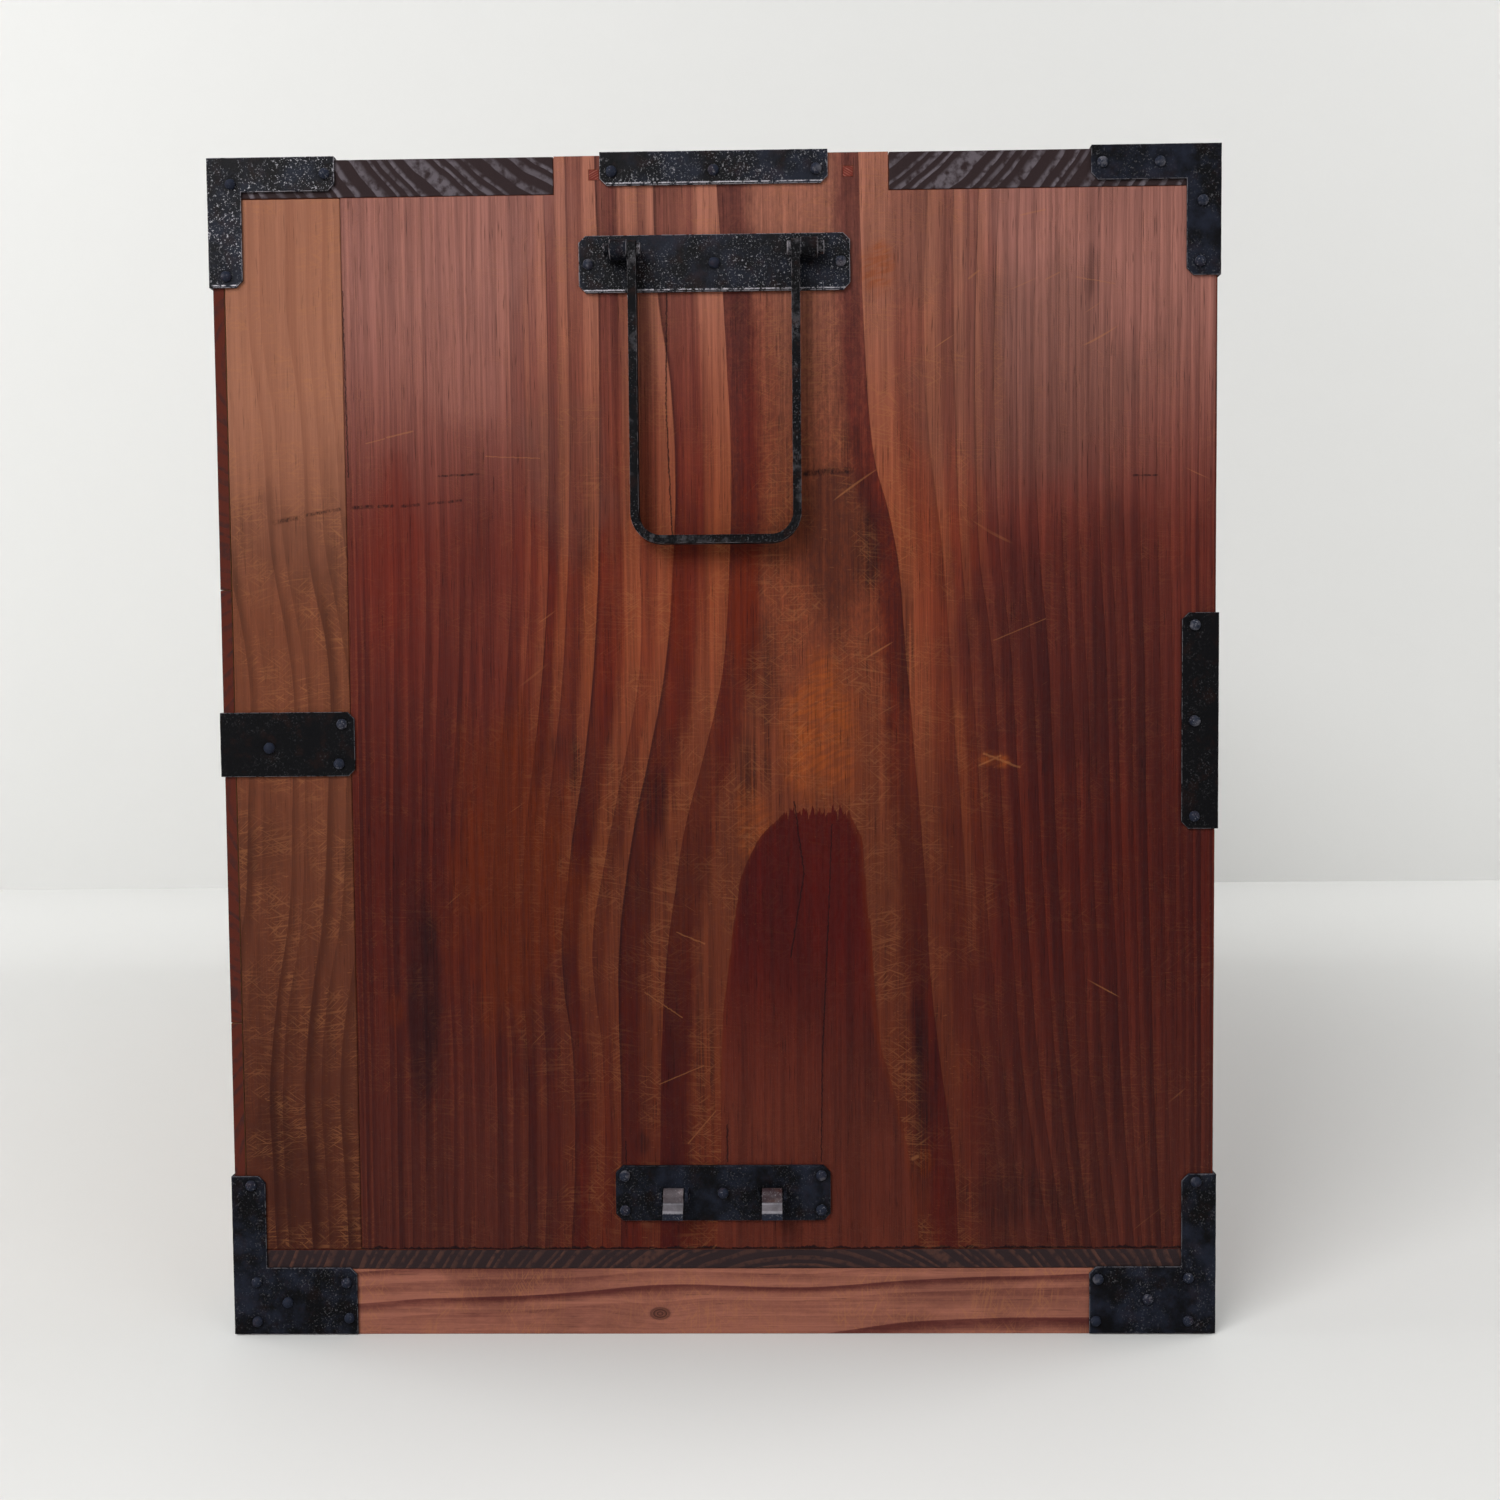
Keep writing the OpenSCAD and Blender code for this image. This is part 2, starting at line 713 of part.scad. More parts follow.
module back_edge_straps() {
    h = back_strap_h;
    z = rail_mid + back_strap_lift;
    pierced(0, back_strap_l, z - h / 2, z + h / 2) {
        translate([-iron_t, z - h / 2, 0]) linear_extrude(iron_t)
            strap_end(back_strap_l + iron_t, h);
        turned_back() translate([0, z - h / 2]) strap_end(back_strap_turn, h);
    }
}

module strap_end(l, h) {
    polygon([[0, 0], [l - clip, 0], [l, clip], [l, h - clip], [l - clip, h], [0, h]]);
}

module iron_nails() {
    color(black_iron) for (s = [-1, 1]) on_side(s)
        each_nail([0, 0, 0], [case_d, case_h, case_w]) nail(nail_l);
}

// Lifting bails

// The middle of an eye, with local x along the pin, for the rear (-1) or front (1) leg
module eye_place(end) {
    translate([hardware_u + end * (bail_w / 2 + leg_gap + eye_l / 2), pivot_z, pivot_out]) children();
}

module plate_nail_holes(s, w, z) {
    nail_holes(s, [hardware_u - w / 2, z - plate_h / 2, 0], [hardware_u + w / 2, z + plate_h / 2, 0]);
}

module handle_plate(s) {
    color(black_iron) difference() {
        on_side(s) difference() {
            translate([hardware_u - handle_plate_w / 2, handle_plate_z, 0]) linear_extrude(plate_t)
                clipped_rect(handle_plate_w, plate_h, clip);
            eye_mortises();
        }
        plate_nail_holes(s, handle_plate_w, handle_plate_z + plate_h / 2);
    }
}

// A rolled eye with its tang, which runs through the plate into the side board
module handle_eyes() {
    color(black_iron) for (s = [-1, 1]) on_side(s) for (end = [-1, 1]) eye_place(end) {
        difference() {
            union() {
                translate([-eye_l / 2, 0, 0]) rotate([0, 90, 0]) cylinder(eye_l, r = eye_r);
                translate([-eye_l / 2, -tang_w / 2, -tang_l - pivot_out])
                    cube([eye_l, tang_w, tang_l + pivot_out]);
            }
            translate([-eye_l / 2 - over, 0, 0]) rotate([0, 90, 0])
                cylinder(eye_l + 2 * over, r = pin_r + hole_gap);
        }
    }
}

module bail_pin() {
    inner = -eye_l / 2 - leg_gap - bar_t - leg_gap;
    translate([inner - pin_head_l, 0, 0]) rotate([0, 90, 0]) cylinder(pin_head_l, r = pin_head_r);
    translate([inner, 0, 0]) rotate([0, 90, 0]) cylinder(eye_l / 2 - inner, r = pin_r);
    translate([eye_l / 2, 0, 0]) rotate([0, 90, 0])
        cylinder(pin_tail_l, r1 = pin_r + pin_tail_swell, r2 = pin_head_r);
}

module catch_pin() {
    l = catch_w + 2 * (pass_gap + ear_t + catch_pin_tail);
    translate([-l / 2, 0, 0]) rotate([0, 90, 0]) cylinder(l, r = catch_pin_r);
}

module hinge_pins() {
    color(worn_iron) for (s = [-1, 1]) on_side(s) {
        eye_place(1) bail_pin();
        eye_place(-1) mirror([1, 0, 0]) bail_pin();
        for (end = [-1, 1]) catch_place(end) catch_pin();
    }
}

module bail(s) {
    color(black_iron) on_side(s) translate([hardware_u, pivot_z, pivot_out]) difference() {
        union() {
            translate([0, 0, -bar_w / 2]) linear_extrude(bar_w) bent_bar(bail_w, bail_l, bar_t, bend_r);
            for (end = [-1, 1]) translate([end * (bail_w - bar_t) / 2 - bar_t / 2, 0, 0])
                rotate([0, 90, 0]) cylinder(bar_t, r = bar_w / 2);
        }
        translate([-bail_w, 0, 0]) rotate([0, 90, 0]) cylinder(2 * bail_w, r = pin_r + run_gap);
    }
}

// Catches

module catch_place(end) {
    translate([hardware_u + end * catch_pitch / 2, catch_z, catch_out]) children();
}

// An ear of the catch plate: bent up beside a catch and bored for its pin
module catch_ear() {
    r = catch_pin_r + ear_wall;
    translate([-ear_t / 2, 0, 0]) rotate([0, 90, 0]) cylinder(ear_t, r = r);
    translate([-ear_t / 2, -r, -catch_out]) cube([ear_t, r + ear_rise, catch_out]);
}

module catch_plate(s) {
    ear_x = catch_w / 2 + pass_gap + ear_t / 2;
    color(black_iron) difference() {
        on_side(s) difference() {
            union() {
                translate([hardware_u - catch_plate_w / 2, catch_z - plate_h / 2, 0]) linear_extrude(plate_t)
                    clipped_rect(catch_plate_w, plate_h, clip);
                for (end = [-1, 1], k = [-1, 1]) catch_place(end) translate([k * ear_x, 0, 0]) catch_ear();
            }
            for (end = [-1, 1]) catch_place(end) translate([-catch_w, 0, 0]) rotate([0, 90, 0])
                cylinder(2 * catch_w, r = catch_pin_r + hole_gap);
        }
        plate_nail_holes(s, catch_plate_w, catch_z);
    }
}

// A catch seen along its pin: the rolled eye, and the strip that steps out over a bail's bar
module catch_outline() {
    lip = lip_out - catch_out;
    shin = catch_r - catch_t;
    shin_y = -catch_r - shin_drop;
    step_y = shin_y - step_drop;
    circle(catch_r);
    polygon([
        [shin, 0], [shin, shin_y], [lip, step_y], [lip, -lip_drop],
        [lip + catch_t, -lip_drop], [lip + catch_t, step_y + 0.6 * catch_t],
        [catch_r, shin_y + 0.6 * catch_t], [catch_r, 0]
    ]);
}

module catch(s, end) {
    color(worn_iron) on_side(s) catch_place(end) difference() {
        translate([-catch_w / 2, 0, 0]) rotate([90, 0, 90]) linear_extrude(catch_w)
            rotate(90) mirror([0, 1]) catch_outline();
        translate([-catch_w, 0, 0]) rotate([0, 90, 0]) cylinder(2 * catch_w, r = catch_pin_r + run_gap);
    }
}

// Drawers

module drawer_front(floor) {
    color(front_wood) difference() {
        on_drawer(floor) difference() {
            translate([-drawer_w / 2, 0, 0]) cube([drawer_w, front_t, front_h]);
            for (x = [-drawer_w / 2 - over, drawer_w / 2 - drawer_side_t])
                translate([x, front_t - rebate_d, -over])
                    cube([drawer_side_t + over, rebate_d + over, drawer_bottom_t + side_h + over]);
            translate([-drawer_w / 2 - over, front_t - rebate_d, -over])
                cube([drawer_w + 2 * over, rebate_d + over, drawer_bottom_t + over]);
        }
        on_drawer_face(floor) {
            translate([0, key_z, -front_t - over]) linear_extrude(front_t + 2 * over) keyhole();
            each_drawer_nail() translate([0, 0, -front_t - over])
                cylinder(front_t + 2 * over, r = nail_r + hole_gap);
            each_post() translate([0, 0, -front_t - over])
                cylinder(front_t + 2 * over, r = post_r + hole_gap);
        }
    }
}

module drawer_side(floor, s) {
    x = s < 0 ? -drawer_w / 2 : drawer_w / 2 - drawer_side_t;
    color(raw_wood) on_drawer(floor) translate([x, front_t - rebate_d, drawer_bottom_t])
        cube([drawer_side_t, drawer_l - front_t + rebate_d, side_h]);
}

module drawer_back(floor) {
    w = drawer_w - 2 * drawer_side_t;
    color(raw_wood) on_drawer(floor) translate([-w / 2, drawer_l - drawer_back_t, drawer_bottom_t])
        cube([w, drawer_back_t, side_h - drawer_back_drop]);
}

module drawer_bottom(floor) {
    color(raw_wood) on_drawer(floor) translate([-drawer_w / 2, front_t - rebate_d, 0])
        cube([drawer_w, drawer_l - front_t + rebate_d, drawer_bottom_t]);
}

// Drawer fittings, drawn on the drawer face as [x, z]

module each_drawer_nail() {
    for (x = [-lock_nail_x, lock_nail_x], z = lock_nail_z) translate([x, lock_z + z, 0]) children();
}

module each_post() {
    for (s = [-1, 1], t = [-1, 1]) translate([s * pull_x + t * pull_pitch / 2, pull_z, 0]) children();
}

module lock_plate(floor) {
    color(black_iron) on_drawer_face(floor) difference() {
        translate([-lock_w / 2, lock_z, 0]) linear_extrude(iron_t) clipped_rect(lock_w, lock_h, 2 * clip);
        translate([0, key_z, -over]) linear_extrude(iron_t + 2 * over) keyhole();
        each_drawer_nail() translate([0, 0, -over]) cylinder(iron_t + 2 * over, r = nail_r + hole_gap);
    }
}

module drawer_nails(floor) {
    color(black_iron) on_drawer_face(floor) each_drawer_nail()
        translate([0, 0, iron_t]) nail(iron_t + front_t + lock_wall + bolt_side_play);
}

// The lock case: a flange against the back of the drawer front, and a box that the bolt rises in
module lock_case(floor) {
    w = lock_case_w;
    h = lock_case_h;
    color(worn_iron) on_drawer(floor) translate([0, front_t, lock_case_z]) difference() {
        union() {
            translate([-lock_flange_w / 2, 0, 0]) cube([lock_flange_w, lock_wall, h]);
            translate([-w / 2, 0, 0]) cube([w, lock_case_d, h]);
        }
        translate([lock_wall - w / 2, lock_wall, lock_wall])
            cube([w - 2 * lock_wall, lock_case_d - 2 * lock_wall, h - 2 * lock_wall]);
        translate([-bolt_w / 2 - bolt_play, lock_wall, h - 2 * lock_wall])
            cube([bolt_w + 2 * bolt_play, lock_case_d - 2 * lock_wall, 3 * lock_wall]);
        translate([0, -over, key_z - lock_case_z]) mirror([0, 1, 0]) rotate([90, 0, 0])
            linear_extrude(lock_wall + 2 * over) keyhole();
        translate([0, 0, -lock_case_z]) rotate([90, 0, 0]) each_drawer_nail()
            translate([0, 0, -lock_wall - over]) cylinder(lock_wall + 2 * over, r = nail_r + hole_gap);
    }
}

module lock_bolt(floor) {
    tongue_top = lock_case_h;
    shoulder_z = lock_case_h - lock_wall - bolt_rise - bolt_play - bolt_shoulder_h;
    color(worn_iron) on_drawer(floor) translate([0, front_t + lock_wall + bolt_side_play, lock_case_z]) {
        translate([-bolt_w / 2, 0, shoulder_z]) cube([bolt_w, bolt_t, tongue_top - shoulder_z]);
        translate([-bolt_shoulder_w / 2, 0, shoulder_z]) cube([bolt_shoulder_w, bolt_t, bolt_shoulder_h]);
    }
}

// A post: an eye on a shank that goes through its washer plate and the drawer front
module pull_post() {
    difference() {
        union() {
            translate([-washer_w / 2, -washer_w / 2, 0]) linear_extrude(iron_t)
                clipped_rect(washer_w, washer_w, clip);
            translate([0, 0, -front_t]) cylinder(front_t + pull_stand, r = post_r);
            translate([-post_eye_w / 2, 0, pull_stand]) rotate([0, 90, 0])
                cylinder(post_eye_w, r = post_eye_r);
            translate([0, 0, -front_t - iron_t]) cylinder(iron_t, r = post_r + clench_lap);
        }
        translate([-post_eye_w, 0, pull_stand]) rotate([0, 90, 0])
            cylinder(2 * post_eye_w, r = pin_r + run_gap);
    }
}

module pull_posts(floor) {
    color(black_iron) on_drawer_face(floor) each_post() pull_post();
}

// A pull: a bent bar with its ends turned in through the eyes of the two posts
module pull(floor, s) {
    pin_l = post_eye_w + 2 * pass_gap;
    leg_x = (pull_pitch + pin_l) / 2;
    w = 2 * (leg_x + pull_bar);
    color(black_iron) on_drawer_face(floor) translate([s * pull_x, pull_z, pull_stand]) {
        translate([0, 0, -pull_bar_d / 2]) linear_extrude(pull_bar_d)
            bent_bar(w, pull_drop, pull_bar, pull_bend_r);
        for (k = [-1, 1]) {
            translate([k * (leg_x + pull_bar / 2) - pull_bar / 2, 0, 0]) rotate([0, 90, 0])
                cylinder(pull_bar, r = pull_bar_d / 2);
            translate([(k * pull_pitch - pin_l) / 2, 0, 0]) rotate([0, 90, 0]) cylinder(pin_l, r = pin_r);
        }
    }
}

side_wide_board(-1);  // left_side_wide_board
side_narrow_board(-1);  // left_side_narrow_board
side_wide_board(1);  // right_side_wide_board
side_narrow_board(1);  // right_side_narrow_board
top_panel();
bottom_panel();
shelf_panel();
mid_rail();
back_board(back_mid_z, case_h);  // back_board_top
back_board(back_low_z, back_mid_z);  // back_board_middle
back_board(base_h, back_low_z);  // back_board_bottom
base_end_rail(-1);  // base_rail_left
base_end_rail(1);  // base_rail_right
base_long_rail(case_d - base_t);  // base_rail_front
base_long_rail(0);  // base_rail_back
wooden_pegs();
top_front_irons();
top_back_irons();
bottom_front_irons();
bottom_back_irons();
top_straps();
front_edge_straps();
back_edge_straps();
handle_plate(-1);  // left_handle_plate
handle_plate(1);  // right_handle_plate
handle_eyes();
hinge_pins();
catch_plate(-1);  // left_catch_plate
catch_plate(1);  // right_catch_plate
iron_nails();
bail(-1);  // left_bail
bail(1);  // right_bail
catch(-1, -1);  // left_rear_catch
catch(-1, 1);  // left_front_catch
catch(1, -1);  // right_rear_catch
catch(1, 1);  // right_front_catch
drawer_front(shelf_z);  // upper_drawer_front
drawer_side(shelf_z, -1);  // upper_drawer_left_side
drawer_side(shelf_z, 1);  // upper_drawer_right_side
drawer_back(shelf_z);  // upper_drawer_back
drawer_bottom(shelf_z);  // upper_drawer_bottom
lock_plate(shelf_z);  // upper_lock_plate
lock_case(shelf_z);  // upper_lock_case
drawer_nails(shelf_z);  // upper_drawer_nails
pull_posts(shelf_z);  // upper_pull_posts
lock_bolt(shelf_z);  // upper_lock_bolt
pull(shelf_z, -1);  // upper_left_pull
pull(shelf_z, 1);  // upper_right_pull
drawer_front(floor_z);  // lower_drawer_front
drawer_side(floor_z, -1);  // lower_drawer_left_side
drawer_side(floor_z, 1);  // lower_drawer_right_side
drawer_back(floor_z);  // lower_drawer_back
drawer_bottom(floor_z);  // lower_drawer_bottom
lock_plate(floor_z);  // lower_lock_plate
lock_case(floor_z);  // lower_lock_case
drawer_nails(floor_z);  // lower_drawer_nails
pull_posts(floor_z);  // lower_pull_posts
lock_bolt(floor_z);  // lower_lock_bolt
pull(floor_z, -1);  // lower_left_pull
pull(floor_z, 1);  // lower_right_pull
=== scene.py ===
import json
import math
import random

import bmesh
import bpy
from bpy.props import FloatProperty, FloatVectorProperty, PointerProperty
from mathutils import Matrix, Vector, noise

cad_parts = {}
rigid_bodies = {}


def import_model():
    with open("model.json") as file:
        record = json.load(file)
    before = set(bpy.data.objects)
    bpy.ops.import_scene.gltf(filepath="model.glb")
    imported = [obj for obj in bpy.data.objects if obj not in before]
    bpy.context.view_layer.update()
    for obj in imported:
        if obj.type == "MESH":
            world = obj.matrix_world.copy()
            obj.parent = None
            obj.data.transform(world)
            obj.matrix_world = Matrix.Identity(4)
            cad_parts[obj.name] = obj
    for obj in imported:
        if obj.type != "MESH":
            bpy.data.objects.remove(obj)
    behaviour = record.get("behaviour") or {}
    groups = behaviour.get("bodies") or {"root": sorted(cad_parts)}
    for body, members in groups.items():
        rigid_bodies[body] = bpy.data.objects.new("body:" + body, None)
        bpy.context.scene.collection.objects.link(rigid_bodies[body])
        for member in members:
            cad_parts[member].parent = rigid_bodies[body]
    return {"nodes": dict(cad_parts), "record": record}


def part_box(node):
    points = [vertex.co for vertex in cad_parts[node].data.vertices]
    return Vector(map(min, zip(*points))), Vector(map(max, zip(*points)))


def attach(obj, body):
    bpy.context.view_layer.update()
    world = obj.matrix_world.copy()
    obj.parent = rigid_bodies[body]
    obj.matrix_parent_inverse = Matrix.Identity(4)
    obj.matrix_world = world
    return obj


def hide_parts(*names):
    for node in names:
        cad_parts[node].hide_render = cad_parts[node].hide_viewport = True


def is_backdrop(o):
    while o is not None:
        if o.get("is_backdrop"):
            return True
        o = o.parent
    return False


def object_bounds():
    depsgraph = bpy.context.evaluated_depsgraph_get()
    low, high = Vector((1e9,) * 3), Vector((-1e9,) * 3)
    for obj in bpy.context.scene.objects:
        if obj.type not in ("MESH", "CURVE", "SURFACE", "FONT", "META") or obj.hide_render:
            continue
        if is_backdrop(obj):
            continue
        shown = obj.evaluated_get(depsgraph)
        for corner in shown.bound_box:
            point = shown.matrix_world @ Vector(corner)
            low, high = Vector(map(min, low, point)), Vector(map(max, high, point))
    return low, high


bl_info = {
    "name": "Kimono Chest",
    "version": (1, 0, 0),
    "blender": (4, 5, 0),
    "location": "3D View > Sidebar > Chest",
    "description": "Finishes a kimono chest: stained boards, forged irons, bails, catches and drawers",
    "category": "Object",
}

for leftover in list(bpy.data.objects):
    bpy.data.objects.remove(leftover)
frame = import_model()
cad_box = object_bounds()

MM = 0.001
BODY_OF = {node: body for body, nodes in frame["record"]["behaviour"]["bodies"].items() for node in nodes}
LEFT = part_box("left_side_wide_board")[0].x
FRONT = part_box("top_panel")[0].y
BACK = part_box("back_board_top")[1].y
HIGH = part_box("top_panel")[1].z
DEEP = BACK - FRONT
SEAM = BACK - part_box("left_side_wide_board")[1].y
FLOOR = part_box("left_side_wide_board")[0].z


def tone(code):
    """The linear colour of an sRGB hex code."""
    channels = [int(code[i:i + 2], 16) / 255 for i in (0, 2, 4)]
    return [c / 12.92 if c <= 0.04045 else ((c + 0.055) / 1.055) ** 2.4 for c in channels]


# Settings that a user would change, each made with a name, a description and its default

def colour(name, description, code):
    return FloatVectorProperty(
        name=name, description=description, default=tone(code), subtype="COLOR", min=0, max=1
    )


def length(name, description, millimetres):
    return FloatProperty(
        name=name, description=description, default=millimetres * MM, unit="LENGTH", min=0, precision=5
    )


def share(name, description, default):
    return FloatProperty(
        name=name, description=description, default=default, subtype="FACTOR", min=0, max=1
    )


class CHEST_PG_wood(bpy.types.PropertyGroup):
    """Stains and wear of the boards, and painted sheen in some of their colours"""

    # Colours by height: the paler upper colours are partly the stain's fading and partly painted sheen of the
    # window light
    light_top: colour("Light band, top", "Summer growth near the top of a side board", "9e6553")
    light_high: colour("Light band, high", "Summer growth at two thirds of the height", "84422a")
    light_mid: colour("Light band, middle", "Summer growth below half height", "5e2d1c")
    light_low: colour("Light band, foot", "Summer growth near the foot", "592517")
    dark_top: colour("Dark band, top", "Winter growth near the top of a side board", "6c3a33")
    dark_high: colour("Dark band, high", "Winter growth at two thirds of the height", "661f13")
    dark_mid: colour("Dark band, middle", "Winter growth below half height", "410e09")
    dark_low: colour("Dark band, foot", "Winter growth near the foot", "4b130e")
    outer_top: colour("Outer rings, top", "Straight grain either side of the heart, near the top", "96645a")
    outer_high: colour("Outer rings, high", "The same at two thirds of the height", "622820")
    outer_mid: colour("Outer rings, middle", "The same below half height", "4c1711")
    outer_low: colour("Outer rings, foot", "The same near the foot", "4e231b")
    arch: colour("Arch", "The red tongue in the middle of a side board", "4a100c")
    arch_low: colour("Arch, foot", "The same near the foot", "5c281c")
    arch_rim: colour("Arch rim", "Its brighter edge", "6a2a10")
    golden: colour("Golden wear", "Patches where the stain has rubbed thin", "8a431c")
    orange: colour("Orange", "Warm drifts of the stain", "5e240c")
    flame: colour("Flame", "The reddest drifts, beside the heart", "62200e")
    umber: colour("Umber", "Grey-brown drifts near the top", "5e4138")
    # A pale pink patch near the top: partly a blush of the stain, partly painted sheen of the window light
    bloom_and_sheen: colour("Bloom", "A pale pink bloom on the stain", "9a6458")
    plum: colour("Plum", "Cold drifts of the stain", "1c0c0f")
    # Pale grey in the finest grain: partly dust and dulled wax, partly painted glints
    dust_and_glint: colour("Haze", "Dust and dulled wax in the finest grain", "a8a0a2")
    ink: colour("Ink marks", "Blue-black bruises and spills", "0b080c")
    scuff: colour("Scuffs", "Scratches that reach pale wood", "a06a42")
    # The narrow boards' colours by height: the paler tops are partly the stain's fading and partly painted
    # sheen of the window light
    amber_top: colour("Narrow board, top", "The paler board at the back of each end", "8f5e49")
    amber_high: colour("Narrow board, high", "Its light bands at two thirds of the height", "693a27")
    amber_low: colour("Narrow board, foot", "Its light bands near the foot", "4a2418")
    amber_dark_top: colour("Narrow board, dark top", "Its dark bands near the top", "83533f")
    amber_dark_high: colour("Narrow board, dark high", "Its dark bands at two thirds of the height", "4c281a")
    amber_dark_low: colour("Narrow board, dark foot", "Its dark bands near the foot", "371810")
    end_dark: colour("End grain, dark", "Soft growth where boards show their ends", "2b2122")
    end_light: colour("End grain, light", "Hard growth lines in the end grain", "655e64")
    foot_light: colour("Bottom board, light", "Growth lines in the bottom board's ends", "50352d")
    rail_light: colour("Base rail, light", "Light bands of the base rails", "935d4d")
    rail_dark: colour("Base rail, dark", "Dark bands of the base rails", "562a26")
    lacquer_light: colour("Lacquer, light", "Light figure under the front's lacquer", "5a2014")
    lacquer_dark: colour("Lacquer, dark", "Dark figure under the front's lacquer", "220b08")
    bare_light: colour("Bare wood, light", "Unstained boards inside and behind", "a98a63")
    bare_dark: colour("Bare wood, dark", "Growth lines of the unstained boards", "7b5a3a")
    corner: length("Eased corner", "How far the boards' corners are rubbed round", 0.7)
    wave: length("Surface wave", "How far a hand-planed face rises and falls", 0.18)


class CHEST_PG_iron(bpy.types.PropertyGroup):
    """Finish and forging of the ironwork"""

    oxide: colour("Oxide", "Black skin of the irons", "070709")
    # Blue-grey on the black skin: partly a real oxide film, partly painted sheen
    slate: colour("Slate", "Blue-grey bloom on the black skin", "1e222e")
    rust: colour("Rust", "Old brown rust", "3c2118")
    bright: colour("Bright iron", "Metal bared by handling", "9a969c")
    # Pale specks in the pits: partly pale dust, partly painted glints of the pitted skin
    fleck: colour("Flecks", "Pale flecks in the pits", "b0aeb4")
    corner: length("Eased corner", "Rounding of the irons' corners", 0.35)
    hammer: length("Hammer marks", "Depth of the hammered skin", 0.14)
    dimple: length("Nail dimples", "How far the plates are driven in round a nail", 0.45)
    uneven: share("Uneven heads", "How much the nail heads differ", 0.08)


class CHEST_PG_stage(bpy.types.PropertyGroup):
    """The room round the chest"""

    floor: colour("Floor", "Pale floor", "d2d2d0")
    wall: colour("Wall", "Near-white wall", "d9d9d7")
    sky: share("Room light", "Strength of the light from all round", 0.22)
    backdrop: share("Backdrop", "Brightness of the pale room that the camera sees", 0.8)
    lamp: FloatProperty(
        name="Window lamp", description="Power of the soft lamp", default=72, unit="POWER", min=0
    )
    wall_gap: FloatProperty(
        name="Wall", description="From the chest's middle to the wall", default=0.99, unit="LENGTH"
    )


# Node drawing: each call adds one node, and wires take plain arithmetic

class Wire:
    """A value on its way through a node tree."""

    def __init__(self, sheet, socket):
        self.sheet = sheet
        self.socket = socket

    def __add__(self, other):
        return self.sheet.math("ADD", self, other)

    def __radd__(self, other):
        return self.sheet.math("ADD", other, self)

    def __sub__(self, other):
        return self.sheet.math("SUBTRACT", self, other)

    def __rsub__(self, other):
        return self.sheet.math("SUBTRACT", other, self)

    def __mul__(self, other):
        return self.sheet.math("MULTIPLY", self, other)

    def __rmul__(self, other):
        return self.sheet.math("MULTIPLY", other, self)

    def __truediv__(self, other):
        return self.sheet.math("DIVIDE", self, other)

    def __pow__(self, other):
        return self.sheet.math("POWER", self, other)


